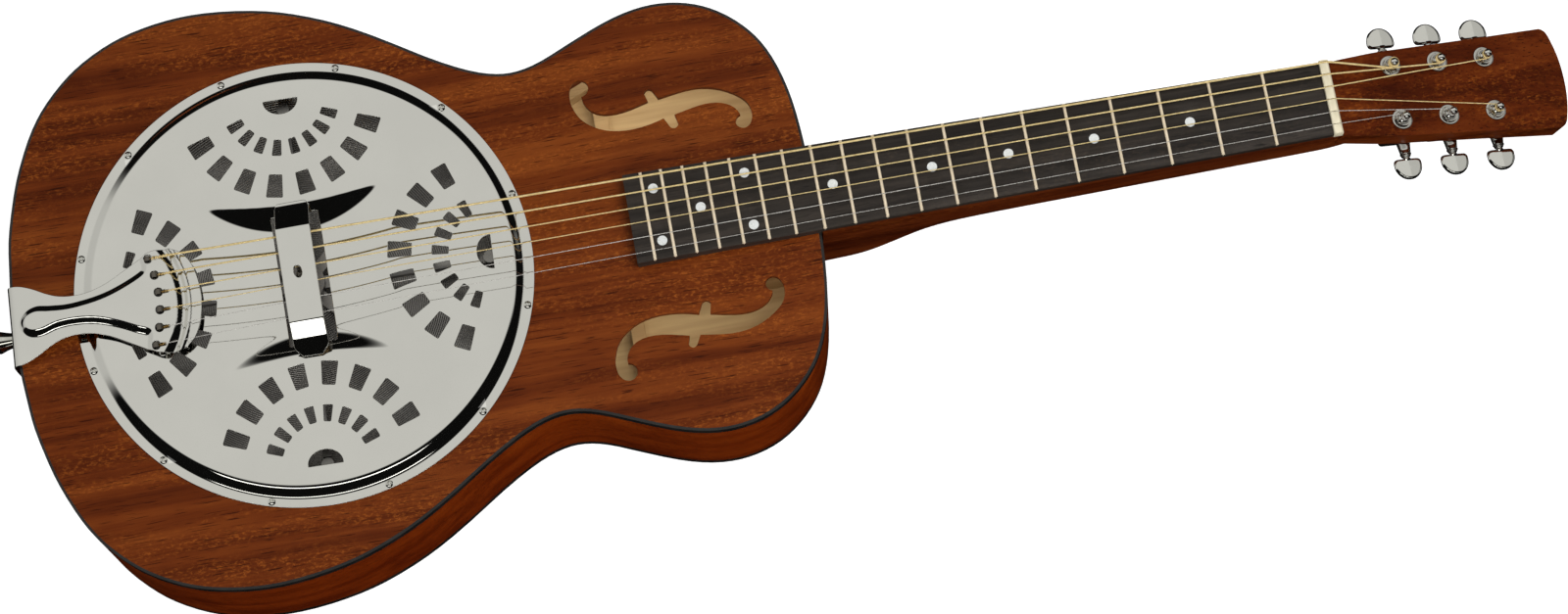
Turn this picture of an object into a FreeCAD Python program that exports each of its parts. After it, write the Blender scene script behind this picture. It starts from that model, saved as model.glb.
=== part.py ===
# Twelve-fret resonator guitar, parametric model, millimetres.
# Frame: +X towards the headstock, +Y towards the bass side, +Z out of the soundboard.
# Origin: on the outside of the flat back, straight under the centre of the resonator cover plate.
import FreeCAD, Part
import Sketcher
import math
import os

V = FreeCAD.Vector
doc = FreeCAD.newDocument("resonator_guitar")

# ---------------------------------------------------------------- driving dimensions
DIMENSIONS = [
    ("scale_length", 648.0), ("saddle_x", 2.7), ("body_depth", 89.0),
    ("top_thickness", 4.0), ("back_thickness", 3.5), ("side_thickness", 2.6),
    ("binding_width", 1.7), ("binding_height", 6.5), ("lining_width", 6.0), ("lining_height", 12.0),
    ("well_radius", 136.0), ("ring_outer_radius", 147.0), ("ring_inner_radius", 127.0), ("ring_height", 15.0),
    ("cover_radius", 144.6), ("cover_sheet", 0.9), ("cover_dome_height", 10.5), ("cover_edge_height", 6.0),
    ("cover_screw_radius", 141.5), ("pattern_turn", -1.5),
    ("fan_radius", 119.7), ("inner_slot_radius", 32.5), ("outer_slot_radius", 58.0), ("slot_angle", 9.2), ("slot_pitch", 18.8),
    ("rest_length", 22.0), ("rest_height", 25.0), ("rest_sheet", 1.4),
    ("nut_surface_height", 4.0), ("fingerboard_tilt", 0.909), ("fingerboard_thickness", 5.0),
    ("nut_half_width", 24.1), ("fret_count", 19.0), ("fret_height", 1.1), ("fret_width", 2.0), ("dot_radius", 3.15),
    ("nut_length", 6.0), ("nut_height", 3.0),
    ("head_tilt", 14.74), ("head_thickness", 15.0), ("post_y", 18.0), ("post_pitch", 32.4), ("post_start", -2.8),
    ("worm_offset", 7.6), ("gear_teeth", 14.0), ("gear_module", 0.75), ("gear_depth", 21.5),
    ("post_radius", 3.0), ("shaft_radius", 1.6), ("tail_sheet", 1.6), ("tail_turn", -2.4),
]
sheet = doc.addObject("Spreadsheet::Sheet", "Dims")
for row, (word, number) in enumerate(DIMENSIONS, 1):
    sheet.set("A%d" % row, word)
    sheet.set("B%d" % row, repr(number))
    sheet.setAlias("B%d" % row, word)
doc.recompute()


def dim(word):
    return float(sheet.get(word))


DEPTH = dim("body_depth")
NODES = []          # every sub-part, in the order it is made


# ---------------------------------------------------------------- helpers
def new_body(node):
    body = doc.addObject("PartDesign::Body", node)
    body.Label = node
    NODES.append(body)
    return body


def origin_plane(body, role):
    return [f for f in body.Origin.OriginFeatures if f.Role == role][0]


def new_sketch(body, name, role, height=None):
    sk = body.newObject("Sketcher::SketchObject", name)
    sk.AttachmentSupport = [(origin_plane(body, role), "")]
    sk.MapMode = "FlatFace"
    if height is not None:
        sk.setExpression("AttachmentOffset.Base.z", height)
    return sk


def pad(body, sk, length, name="Pad", reverse=False, midplane=False):
    feature = body.newObject("PartDesign::Pad", name)
    feature.Profile = sk
    feature.setExpression("Length", length)
    feature.Reversed = reverse
    feature.Midplane = midplane
    doc.recompute()
    return feature


def pocket(body, sk, length, name="Pocket", reverse=False):
    before = body.Shape.Volume
    feature = body.newObject("PartDesign::Pocket", name)
    feature.Profile = sk
    feature.setExpression("Length", length)
    feature.Reversed = reverse
    doc.recompute()
    if abs(body.Shape.Volume - before) < 1e-3:
        raise RuntimeError("%s cuts nothing in %s" % (name, body.Label))
    return feature


def closed_spline(points):
    curve = Part.BSplineCurve()
    curve.interpolate([V(p[0], p[1], 0) for p in points], PeriodicFlag=True)
    return curve


def open_spline(points):
    curve = Part.BSplineCurve()
    curve.interpolate([V(p[0], p[1], p[2] if len(p) > 2 else 0) for p in points])
    return curve


def draw_chain(sk, corners):
    for a, b in zip(corners, corners[1:] + corners[:1]):
        sk.addGeometry(Part.LineSegment(V(a[0], a[1], 0), V(b[0], b[1], 0)), False)


def draw_rectangle(sk, x0, y0, x1, y1):
    draw_chain(sk, [(x0, y0), (x1, y0), (x1, y1), (x0, y1)])


def draw_circle(sk, x, y, expression, value):
    index = sk.addGeometry(Part.Circle(V(x, y, 0), V(0, 0, 1), value), False)
    number = sk.addConstraint(Sketcher.Constraint("Radius", index, value))
    sk.setExpression("Constraints[%d]" % number, expression)
    return index


def feature(node, shape, placement=None):
    item = doc.addObject("Part::Feature", node)
    item.Label = node
    item.Shape = shape
    if placement is not None:
        item.Placement = placement.multiply(shape.Placement)
    NODES.append(item)
    return item


def prism(points, z0, z1):
    wire = Part.makePolygon([V(p[0], p[1], z0) for p in points] + [V(points[0][0], points[0][1], z0)])
    return Part.Face(wire).extrude(V(0, 0, z1 - z0))


def cylinder(radius, a, b):
    a, b = V(*a), V(*b)
    return Part.makeCylinder(radius, (b - a).Length, a, b - a)


# ---------------------------------------------------------------- body outline
HALF = [(-183.5, 0), (-183.2, 24.2), (-181.6, 43.2), (-179.7, 60.0), (-176.9, 73.4), (-173.6, 86.2), (-169.6, 99.2),
        (-164.7, 111.7), (-158.0, 126.1), (-148.8, 140.8), (-137.9, 153.2), (-125.9, 163.8), (-111.2, 173.1),
        (-94.4, 180.6), (-72.9, 186.0), (-50.0, 188.3), (-28.9, 187.4), (-10.4, 184.8), (7.9, 180.6), (25.8, 174.4),
        (43.5, 166.6), (61.0, 157.0), (78.2, 146.2), (95.3, 134.9), (112.7, 124.5), (130.5, 116.2), (147.0, 112.6),
        (162.2, 114.4), (182.4, 122.1), (202.8, 130.9), (222.7, 137.8), (245, 141.0), (260.4, 139.5), (278.1, 133.4),
        (294.7, 121.6), (307.6, 106.0), (316.6, 85.1), (321.6, 61.9), (323.7, 38.3), (324.5, 20), (324.7, 0)]


def outline(inset=0.0):
    """Points of the body's plan outline, moved inwards by inset."""
    whole = HALF + [(x, -y) for x, y in reversed(HALF[1:-1])]
    if inset == 0.0:
        return whole
    out = []
    count = len(whole)
    for i, (x, y) in enumerate(whole):
        ax, ay = whole[i - 1]
        bx, by = whole[(i + 1) % count]
        tx, ty = bx - ax, by - ay
        size = math.hypot(tx, ty)
        out.append((x + ty / size * inset * -1, y - tx / size * inset * -1))
    if max(abs(p[1]) for p in out) > max(abs(p[1]) for p in whole):
        out = [(2 * w[0] - o[0], 2 * w[1] - o[1]) for w, o in zip(whole, out)]
    return out


BIND = dim("binding_width")
SIDE = dim("side_thickness")
TURN = math.radians(dim("pattern_turn"))


def ring_body(node, outer_inset, inner_inset, base, height):
    body = new_body(node)
    sk = new_sketch(body, node + "_plan", "XY_Plane", base)
    sk.addGeometry(closed_spline(outline(outer_inset)), False)
    sk.addGeometry(closed_spline(outline(inner_inset)), False)
    pad(body, sk, height, node + "_pad")
    return body


# f-hole, one half; the other mirrors it across the neck axis
F_SMOOTH = [
    [(191.0, 88.4), (195.2, 91.0), (196.0, 95.2), (193.2, 99.0), (188.5, 99.2), (184.9, 96.0), (183.4, 90.5), (183.4, 86), (184.6, 81), (187, 75.5), (193.5, 68.5), (204.5, 63.0), (217, 61.2), (229, 62.2), (239.7, 64.8)],
    [(239.7, 64.8), (243.1, 58.0)], [(243.1, 58.0), (245.6, 57.2), (248.3, 59.4)], [(248.3, 59.4), (246.9, 66.0)],
    [(246.9, 66.0), (257.9, 68.3), (268.9, 69.5), (278.2, 67.9), (285.4, 63.0), (287.6, 58.6)],
    [(287.6, 58.6), (284.6, 56.2), (284.2, 52.6), (286.8, 49.8), (290.4, 49.7), (293.6, 52.6), (295.0, 57.5), (293.7, 65), (287.2, 72.2), (277.5, 77.8), (266, 80.9), (253, 80.8), (245.8, 79.8), (238.4, 78.6)],
    [(238.4, 78.6), (235.4, 84.5)], [(235.4, 84.5), (232.8, 85.8), (230.1, 83.4)], [(230.1, 83.4), (231.7, 77.9)],
    [(231.7, 77.9), (220, 75), (208.4, 73.8), (199.6, 75.5), (193.6, 80.2), (191.3, 85), (191.0, 88.4)],
]


def draw_f_hole(sk, side):
    for run in F_SMOOTH:
        run = [(x, y * side) for x, y in run]
        if len(run) == 2:
            sk.addGeometry(Part.LineSegment(V(run[0][0], run[0][1], 0), V(run[1][0], run[1][1], 0)), False)
        else:
            sk.addGeometry(open_spline(run), False)


screw_spots = [(dim("cover_screw_radius") * math.cos(math.radians(15 + 30 * k) + TURN),
                dim("cover_screw_radius") * math.sin(math.radians(15 + 30 * k) + TURN)) for k in range(12)]

# ---------------------------------------------------------------- wooden body
board = new_body("soundboard")
sk = new_sketch(board, "soundboard_plan", "XY_Plane", "Dims.body_depth - Dims.top_thickness")
sk.addGeometry(closed_spline(outline(BIND + 0.02)), False)
draw_circle(sk, 0, 0, "Dims.well_radius", dim("well_radius"))
for side in (1, -1):
    draw_f_hole(sk, side)
for x, y in screw_spots:
    sk.addGeometry(Part.Circle(V(x, y, 0), V(0, 0, 1), 1.3), False)
pad(board, sk, "Dims.top_thickness", "soundboard_pad")

back = new_body("back")
sk = new_sketch(back, "back_plan", "XY_Plane")
sk.addGeometry(closed_spline(outline(BIND + 0.02)), False)
pad(back, sk, "Dims.back_thickness", "back_pad")

sides = ring_body("sides", 0.0, SIDE, "Dims.binding_height + 0.02", "Dims.body_depth - 2 * Dims.binding_height - 0.04")
sk = new_sketch(sides, "neck_bolt_holes", "YZ_Plane", "300")
for z in (30.0, 62.0):
    sk.addGeometry(Part.Circle(V(0, z, 0), V(0, 0, 1), 3.2), False)
pocket(sides, sk, "40", "neck_bolt_pocket", reverse=True)
sk = new_sketch(sides, "strap_screw_hole", "YZ_Plane", "-170")
sk.addGeometry(Part.Circle(V(3.6, 64.0, 0), V(0, 0, 1), 1.9), False)
pocket(sides, sk, "30", "strap_screw_pocket")

ring_body("top_binding", 0.0, BIND, "Dims.body_depth - Dims.binding_height", "Dims.binding_height")
ring_body("back_binding", 0.0, BIND, "0", "Dims.binding_height")

# inside volume, used to trim the blocks and braces to the curved sides
inner_face = Part.Face(Part.Wire([closed_spline(outline(SIDE + 0.1)).toShape()]))
inner = inner_face.extrude(V(0, 0, DEPTH))
inner_lined = Part.Face(Part.Wire([closed_spline(outline(SIDE + dim("lining_width") + 0.1)).toShape()])).extrude(V(0, 0, DEPTH))
low, high = dim("back_thickness"), DEPTH - dim("top_thickness")
lining_low, lining_high = low + dim("lining_height"), high - dim("lining_height")


lining_rings = []
outer_ring = Part.Face(Part.Wire([closed_spline(outline(SIDE + 0.05)).toShape()]))
inner_ring = Part.Face(Part.Wire([closed_spline(outline(SIDE + dim("lining_width"))).toShape()]))
for base in (low, lining_high):
    one = outer_ring.cut(inner_ring).extrude(V(0, 0, dim("lining_height")))
    one.translate(V(0, 0, base))
    lining_rings.append(one)
feature("linings", Part.Compound(lining_rings))


def block(x0, x1, half):
    tall = Part.makeBox(x1 - x0, 2 * half, high - low, V(x0, -half, low)).common(inner_lined)
    waist = Part.makeBox(x1 - x0, 2 * half, lining_high - lining_low - 0.1, V(x0, -half, lining_low + 0.05)).common(inner)
    return tall.fuse(waist).removeSplitter()


neck_block = block(268.0, 325.0, 34.0)
for z in (30.0, 62.0):
    neck_block = neck_block.cut(cylinder(3.2, (250, 0, z), (340, 0, z)))
    neck_block = neck_block.cut(cylinder(6.4, (250, 0, z), (274, 0, z)))
feature("neck_block", neck_block)
tail_block = block(-186.0, -162.0, 38.0).cut(cylinder(1.9, (-200, 3.6, 64), (-164, 3.6, 64)))
feature("tail_block", tail_block)

top_bars = [Part.makeBox(9, 300, 11, V(165, -150, high - 11)).common(inner_lined)]
for side in (1, -1):
    top_bars.append(Part.makeBox(93, 7, 9, V(174.1, side * 38 - 3.5, high - 9)))
feature("top_braces", Part.Compound(top_bars))
back_bars = [Part.makeBox(9, 400, 10, V(x, -200, low)).common(inner_lined) for x in (-95.0, 35.0, 195.0)]
feature("back_braces", Part.Compound(back_bars))

# round ledge under the soundboard that carries the cone
ring = new_body("soundwell_ring")
sk = new_sketch(ring, "ring_profile", "XZ_Plane")
r0, r1, rw = dim("ring_inner_radius"), dim("ring_outer_radius"), dim("well_radius")
draw_chain(sk, [(r0, high - 15), (r1, high - 15), (r1, high), (rw, high), (rw, high - 9), (r0, high - 9)])
turned = ring.newObject("PartDesign::Revolution", "ring_turned")
turned.Profile = sk
turned.ReferenceAxis = (sk, ["V_Axis"])
turned.Angle = 360.0
doc.recompute()
sk = new_sketch(ring, "ring_screw_holes", "XY_Plane", "Dims.body_depth - Dims.top_thickness + 1")
for x, y in screw_spots:
    sk.addGeometry(Part.Circle(V(x, y, 0), V(0, 0, 1), 1.3), False)
pocket(ring, sk, "13", "ring_screw_pocket")

# ---------------------------------------------------------------- resonator
LEDGE = high - 9.0
cone = new_body("resonator_cone")
sk = new_sketch(cone, "cone_profile", "XZ_Plane")
w = 0.8
upper = [(134.6, LEDGE + w), (124.0, LEDGE + w), (117.0, LEDGE - 3.2 + w), (60.0, LEDGE - 17.5 + w), (46.0, LEDGE - 19.5 + w), (16.0, LEDGE - 10.0 + w), (2.4, LEDGE - 8.5 + w)]
lower = [(2.4, LEDGE - 8.5), (16.0, LEDGE - 10.0), (46.0, LEDGE - 19.5), (60.0, LEDGE - 17.5), (117.0, LEDGE - 3.2), (123.4, LEDGE), (134.6, LEDGE)]
draw_chain(sk, upper + lower)
turned = cone.newObject("PartDesign::Revolution", "cone_spun")
turned.Profile = sk
turned.ReferenceAxis = (sk, ["V_Axis"])
turned.Angle = 360.0
doc.recompute()

leg_z = LEDGE + w + 0.1
spider = Part.makeCylinder(13.0, 12.0, V(0, 0, leg_z + 1.0))
spider = spider.fuse(Part.makeBox(10, 62, 12, V(-5 + 2.7, -31.5, 84.0)))
for k in range(8):
    leg = prism([(8, -4.0), (60, -3.0), (112, -2.6), (112, 2.6), (60, 3.0), (8, 4.0)], leg_z + 1.6, leg_z + 6.6)
    foot = Part.makeCylinder(4.0, 6.6, V(117.0, 0, leg_z + 1.2))
    pad_ = prism([(110, -2.6), (129, -2.6), (129, 2.6), (110, 2.6)], leg_z, leg_z + 3.4)
    leg = leg.fuse([foot, pad_])
    leg.rotate(V(0, 0, 0), V(0, 0, 1), 45 * k + dim("pattern_turn"))
    spider = spider.fuse(leg)
spider = spider.cut(Part.makeBox(3.2, 63, 9, V(-1.6 + 2.7, -32, 88.0)))
spider = spider.cut(Part.makeCylinder(2.4, 60, V(0, 0, 50)))
spider = spider.cut(Part.makeCylinder(4.4, 30, V(0, 0, 86.0)))
feature("spider_bridge", spider.removeSplitter())
feature("tension_screw", cylinder(2.2, (0, 0, LEDGE - 12.5), (0, 0, 86.1)).fuse(
    Part.makeCylinder(4.1, 3.0, V(0, 0, 86.1))).cut(Part.makeBox(9, 1.0, 1.4, V(-4.5, -0.5, 87.8))))

STRINGS = [  # name, radius, y at the saddle, y at the nut
    ("E", 0.67, 25.9, 22.9), ("A", 0.53, 15.4, 14.7), ("D", 0.40, 4.8, 6.5),
    ("G", 0.30, -5.7, -1.8), ("B", 0.21, -16.3, -10.0), ("e", 0.16, -26.8, -18.2)]
SADDLE_X = dim("saddle_x")
SADDLE_TOP = DEPTH + 19.7
inserts = []
for y0, y1 in ((-31.0, -4.9), (4.0, 30.0)):
    inserts.append(Part.makeBox(3.0, y1 - y0, SADDLE_TOP - 88.05, V(SADDLE_X - 1.5, y0, 88.05)))
feature("saddle_inserts", Part.Compound(inserts))

# ---------------------------------------------------------------- cover plate
TOPZ = DEPTH


def domed_solid(drop):
    """Filled solid under the cover plate's upper face, lowered by drop."""
    rise, edge, rim = dim("cover_dome_height"), dim("cover_edge_height"), dim("cover_radius")
    arc = Part.Arc(V(0, 0, rise), V(67, 0, rise - (rise - edge) * 0.25), V(134.0, 0, edge)).toShape()
    chain = [V(134.0, 0, edge), V(135.2, 0, edge - 0.6), V(137.4, 0, 1.6), V(138.4, 0, 1.0), V(rim, 0, 1.0), V(rim, 0, -3), V(0, 0, -3), V(0, 0, rise)]
    wire = Part.Wire([arc] + [Part.LineSegment(a, b).toShape() for a, b in zip(chain, chain[1:])])
    solid = Part.Face(wire).revolve(V(0, 0, 0), V(0, 0, 1), 360)
    solid.translate(V(0, 0, TOPZ - drop))
    return solid


def string_channel(drop):
    """The pressed channel between the bass and treble fans, deepest in the middle."""
    top = 12.0
    arc = Part.Arc(V(-57, 0, 9.75), V(0, 0, 4.2), V(57, 0, 9.75)).toShape()
    chain = [V(57, 0, 9.75), V(57, 0, top), V(-57, 0, top), V(-57, 0, 9.75)]
    wire = Part.Wire([arc] + [Part.LineSegment(a, b).toShape() for a, b in zip(chain, chain[1:])])
    tool = Part.Face(wire).extrude(V(0, 120, 0))
    tool.translate(V(0, -60, 0))
    for side in (1, -1):
        tool = tool.cut(Part.makeCone(93.0, 70.2, 12.0, V(0, side * 118.0, 0)))
    tool.rotate(V(0, 0, 0), V(0, 0, 1), dim("pattern_turn"))
    tool.translate(V(0, 0, TOPZ - drop))
    return tool


sheet_t = dim("cover_sheet")
upper_solid = domed_solid(0.0).cut(string_channel(0.0))
lower_solid = domed_solid(sheet_t).cut(string_channel(sheet_t))
plate = upper_solid.cut(lower_solid)
plate = plate.common(Part.makeCylinder(200, 40, V(0, 0, TOPZ + 0.05)))
cutters = []


def sector(radius, half_length, angle, centre_angle):
    pts = []
    for r, sign in ((radius - half_length, 1), (radius + half_length, -1)):
        for k in range(4):
            a = centre_angle + math.radians(angle) * (k / 3.0 - 0.5) * sign
            pts.append((dim("fan_radius") - r * math.cos(a), r * math.sin(a)))
    return prism(pts, TOPZ - 4, TOPZ + 16)


for fan in range(4):
    group = []
    for k in range(8):
        angle = math.radians(dim("slot_pitch")) * (k - 3.5)
        group.append(sector(dim("inner_slot_radius"), 5.2, dim("slot_angle"), angle))
        group.append(sector(dim("outer_slot_radius"), 7.5, dim("slot_angle"), angle))
    moon = [(dim("fan_radius") - 9.6 * math.cos(a) ** 1.0, 11.0 * math.sin(a)) for a in [math.radians(v) for v in range(-90, 91, 15)]]
    group.append(prism(moon, TOPZ - 4, TOPZ + 16))
    for item in group:
        item.rotate(V(0, 0, 0), V(0, 0, 1), 90 * fan + dim("pattern_turn"))
        cutters.append(item)
cutters.append(Part.makeBox(30, 85, 20, V(-14, -42, TOPZ - 4)))
for x, y in screw_spots:
    cutters.append(Part.makeCylinder(1.5, 10, V(x, y, TOPZ - 4)))
plate = plate.cut(cutters)
solids = sorted(plate.Solids, key=lambda item: item.Volume)
feature("cover_plate", solids[-1])

screws = []
for x, y in screw_spots:
    body = Part.makeCylinder(1.2, 12.5, V(x, y, TOPZ - 11.4))
    head = Part.makeCone(2.7, 2.1, 0.9, V(x, y, TOPZ + 1.05))
    one = body.fuse(head)
    for turn in (20, 110):
        slot = Part.makeBox(3.0, 0.6, 0.7, V(-1.5, -0.3, 0))
        slot.rotate(V(0, 0, 0), V(0, 0, 1), turn)
        slot.translate(V(x, y, TOPZ + 1.45))
        one = one.cut(slot)
    screws.append(one)
feature("cover_screws", Part.Compound(screws))

# ---------------------------------------------------------------- hand rest over the saddle
def rest_height(y):
    y = abs(y)
    flat, end, top, foot = 25.0, 45.5, dim("rest_height"), 11.75
    if y <= flat:
        return top
    if y >= end:
        return foot
    u = (y - flat) / (end - flat)
    return top + (foot - top) * (u * u * (3 - 2 * u))


ys = [-50, -47.5, -45.5, -42, -39, -36, -33, -30, -27, -25, -15, 0]
ys = ys + [-y for y in reversed(ys[:-1])]
upper_pts = [(0, y, rest_height(y) + TOPZ) for y in ys]
lower_pts = []
for i, y in enumerate(ys):
    a, b = ys[max(i - 1, 0)], ys[min(i + 1, len(ys) - 1)]
    slope = (rest_height(b) - rest_height(a)) / (b - a)
    size = math.hypot(1, slope)
    lower_pts.append((0, y + slope / size * dim("rest_sheet"), rest_height(y) + TOPZ - dim("rest_sheet") / size))
edges = [open_spline(upper_pts).toShape(), open_spline(lower_pts).toShape(),
         Part.LineSegment(V(*upper_pts[0]), V(*lower_pts[0])).toShape(), Part.LineSegment(V(*upper_pts[-1]), V(*lower_pts[-1])).toShape()]
rest = Part.Face(Part.Wire(Part.__sortEdges__(edges))).extrude(V(dim("rest_length"), 0, 0))
rest.translate(V(-10.5, 0, 0))
hole = Part.makeCylinder(2.6, 20, V(0.2, -0.9, TOPZ + 15)).fuse([Part.makeCylinder(2.6, 20, V(-0.6, 1.6, TOPZ + 15))])
feature("hand_rest", rest.cut(hole))

# ---------------------------------------------------------------- tailpiece
TAIL_PROFILE = [(-184.45, -38.0), (-184.45, -32.0), (-184.45, -26.0), (-184.45, -20.0), (-184.45, -14.0), (-184.45, -9.0), (-184.45, -5.0), (-184.43, -1.6), (-184.2, 0.9), (-183.3, 2.4), (-181.5, 3.3), (-178.0, 4.1), (-170.0, 5.7), (-160.0, 7.8), (-150.0, 9.9), (-140.0, 11.4), (-130.0, 12.5), (-110.0, 13.9), (-95.0, 14.5), (-80.0, 15.0), (-61.5, 15.3)]


def offset_profile(points, amount):
    out = []
    for i, (x, z) in enumerate(points):
        a, b = points[max(i - 1, 0)], points[min(i + 1, len(points) - 1)]
        tx, tz = b[0] - a[0], b[1] - a[1]
        size = math.hypot(tx, tz)
        here = amount - 0.45 * min(1.0, max(0.0, (2.4 - z) / 4.0))      # the turned-down apron is a little thinner
        out.append((x - tz / size * here, z + tx / size * here))
    return out


def spline_xz(points):
    curve = Part.BSplineCurve()
    curve.interpolate([V(x, 0, z + TOPZ) for x, z in points])
    return curve.toShape()


outer_profile = offset_profile(TAIL_PROFILE, dim("tail_sheet"))
outer_profile[0] = (TAIL_PROFILE[0][0] - dim("tail_sheet") + 0.45, TAIL_PROFILE[0][1])
edges = [spline_xz(TAIL_PROFILE), spline_xz(outer_profile),
         Part.LineSegment(V(TAIL_PROFILE[0][0], 0, TAIL_PROFILE[0][1] + TOPZ), V(outer_profile[0][0], 0, outer_profile[0][1] + TOPZ)).toShape(),
         Part.LineSegment(V(TAIL_PROFILE[-1][0], 0, TAIL_PROFILE[-1][1] + TOPZ), V(outer_profile[-1][0], 0, outer_profile[-1][1] + TOPZ)).toShape()]
strip = Part.Face(Part.Wire(Part.__sortEdges__(edges))).extrude(V(0, 100, 0))
strip.translate(V(0, -50, 0))
TAIL_HALF = [(-190, 26.2), (-183.5, 26.0), (-176, 24.8), (-168, 21.6), (-160, 17.2), (-152, 13.9), (-143, 12.6), (-133, 13.2), (-122, 17.0), (-112, 22.6), (-104, 27.2), (-98, 30.2), (-92, 32.6), (-84, 33.6), (-77, 32.4), (-70.5, 27.6), (-66.2, 20.0), (-63.6, 10.0), (-62.6, 0.0)]
plan_pts = TAIL_HALF + [(x, -y) for x, y in reversed(TAIL_HALF[:-1])]
curve = open_spline(plan_pts)
plan = Part.Wire([curve.toShape(), Part.LineSegment(V(-190, -26.2, 0), V(-190, 26.2, 0)).toShape()])
plan_solid = Part.Face(plan).extrude(V(0, 0, 100))
plan_solid.translate(V(0, 0, TOPZ - 45))
tail = strip.common(plan_solid)
KEYS = [(-92.4, 28.0), (-89.2, 17.0), (-87.8, 5.7), (-87.8, -5.7), (-89.2, -17.0), (-92.4, -28.0)]
bars = []
for radius, thick, zc, span in ((61.0, 1.9, 15.7, 29), (68.5, 2.1, 15.9, 27)):
    bar = Part.makeTorus(radius, thick, V(0, 0, 0), V(0, 0, 1), 0, 360, 2 * span)
    bar.rotate(V(0, 0, 0), V(0, 0, 1), -span)
    bar.translate(V(-137.5, 0, TOPZ + zc))
    bars.append(bar)
tail = tail.fuse(bars)
for (x, y) in KEYS:
    tail = tail.cut([Part.makeCylinder(2.85, 12, V(x - 1.0, y, TOPZ + 10)), Part.makeBox(7.5, 1.9, 4.2, V(x - 1.0, y - 0.95, TOPZ + 12.2))])
tail = tail.cut(cylinder(2.3, (-200, 0, 64), (-170, 0, 64)))
TAIL_PLACE = FreeCAD.Placement(V(0, 0, 0), FreeCAD.Rotation(V(0, 0, 1), dim("tail_turn")), V(-98, 0, 0))
tail_item = feature("tailpiece", tail.removeSplitter())
tail_item.Placement = TAIL_PLACE

# strap button and its screw, on the tailpiece's turned-down flange
button_y = 3.6
strap = Part.Face(Part.makePolygon([V(-186.0, 0, 2.4), V(-186.0, 0, 5.6), V(-187.4, 0, 5.6), V(-190.5, 0, 4.2), V(-194.0, 0, 4.4), V(-197.6, 0, 7.3), V(-199.2, 0, 7.3), V(-200.0, 0, 6.2), V(-200.0, 0, 2.4), V(-186.0, 0, 2.4)])).revolve(V(0, 0, 0), V(1, 0, 0), 360)
strap = strap.cut(cylinder(3.9, (-198.6, 0, 0), (-202, 0, 0)))
strap.translate(V(0, button_y, 64))
feature("strap_button", strap)
strap_screw = cylinder(1.8, (-199.0, 0, 0), (-165.5, 0, 0)).fuse(cylinder(3.7, (-198.65, 0, 0), (-200.2, 0, 0)))
strap_screw = strap_screw.cut([Part.makeBox(1.0, 4.4, 0.9, V(-200.3, -2.2, -0.45)), Part.makeBox(1.0, 0.9, 4.4, V(-200.3, -0.45, -2.2))])
strap_screw.translate(V(0, button_y, 64))
feature("strap_button_screw", strap_screw)

# ---------------------------------------------------------------- fingerboard frame: X runs back from the nut, Z out of the board
NUT_X = dim("saddle_x") + dim("scale_length")
BOARD = FreeCAD.Placement(V(NUT_X, 0, DEPTH + dim("nut_surface_height")), FreeCAD.Rotation(V(0, 1, 0), dim("fingerboard_tilt")))
BT = dim("fingerboard_thickness")


def fret_x(n):
    return -dim("scale_length") * (1 - 2 ** (-n / 12.0))


def board_half(x):
    """Half width of the board at x, measured from the nut (negative)."""
    return dim("nut_half_width") + (27.75 - dim("nut_half_width")) * (-x / 324.0)


END_X = -443.0
board = new_body("fingerboard")
sk = new_sketch(board, "fingerboard_plan", "XY_Plane")
draw_chain(sk, [(0, -board_half(0)), (0, board_half(0)), (END_X, board_half(END_X)), (END_X, -board_half(END_X))])
pad(board, sk, "Dims.fingerboard_thickness", "fingerboard_pad", reverse=True)
sk = new_sketch(board, "fret_slots", "XY_Plane")
count = int(dim("fret_count"))
for n in range(1, count + 1):
    x = fret_x(n)
    draw_rectangle(sk, x - 0.32, -board_half(x) - 1, x + 0.32, board_half(x) + 1)
pocket(board, sk, "2.2", "fret_slot_pocket")
DOTS = [(3, 0), (5, 0), (7, 0), (9, 0), (12, 0), (15, 1), (17, 0), (19, 1)]
dot_spots = []
for n, double in DOTS:
    x = (fret_x(n) + fret_x(n - 1)) / 2.0
    if double:
        dot_spots += [(x, 17.2), (x, -17.2)]
    else:
        dot_spots.append((x, 0.0))
sk = new_sketch(board, "dot_recesses", "XY_Plane")
for x, y in dot_spots:
    draw_circle(sk, x, y, "Dims.dot_radius + 0.04", dim("dot_radius") + 0.04)
pocket(board, sk, "1.6", "dot_pocket")
board.Placement = BOARD

frets = []
for n in range(1, count + 1):
    x = fret_x(n)
    half = board_half(x)
    fw, fh = dim("fret_width") / 2.0, dim("fret_height")
    arc = Part.Arc(V(x - fw, -half, 0.35), V(x, -half, fh), V(x + fw, -half, 0.35)).toShape()
    lines = [V(x + fw, -half, 0.35), V(x + fw, -half, 0.02), V(x + 0.27, -half, 0.02), V(x + 0.27, -half, -2.0), V(x - 0.27, -half, -2.0), V(x - 0.27, -half, 0.02), V(x - fw, -half, 0.02), V(x - fw, -half, 0.35)]
    wire = Part.Wire([arc] + [Part.LineSegment(a, b).toShape() for a, b in zip(lines, lines[1:])])
    fret = Part.Face(wire).extrude(V(0, 2 * half, 0))
    for side in (1, -1):      # bevelled ends
        wedge = Part.makeBox(6, 3, 4, V(-3, 0, 0))
        wedge.rotate(V(0, 0, 0), V(1, 0, 0), 30)
        wedge.translate(V(0, half, 0.1))
        if side < 0:
            wedge = wedge.mirror(V(0, 0, 0), V(0, 1, 0))
        wedge.translate(V(x, 0, 0))
        fret = fret.cut(wedge)
    frets.append(fret)
feature("frets", Part.Compound(frets), BOARD)

markers = [Part.makeCylinder(dim("dot_radius"), 1.52, V(x, y, -1.5)) for x, y in dot_spots]
feature("fret_markers", Part.Compound(markers), BOARD)

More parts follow.
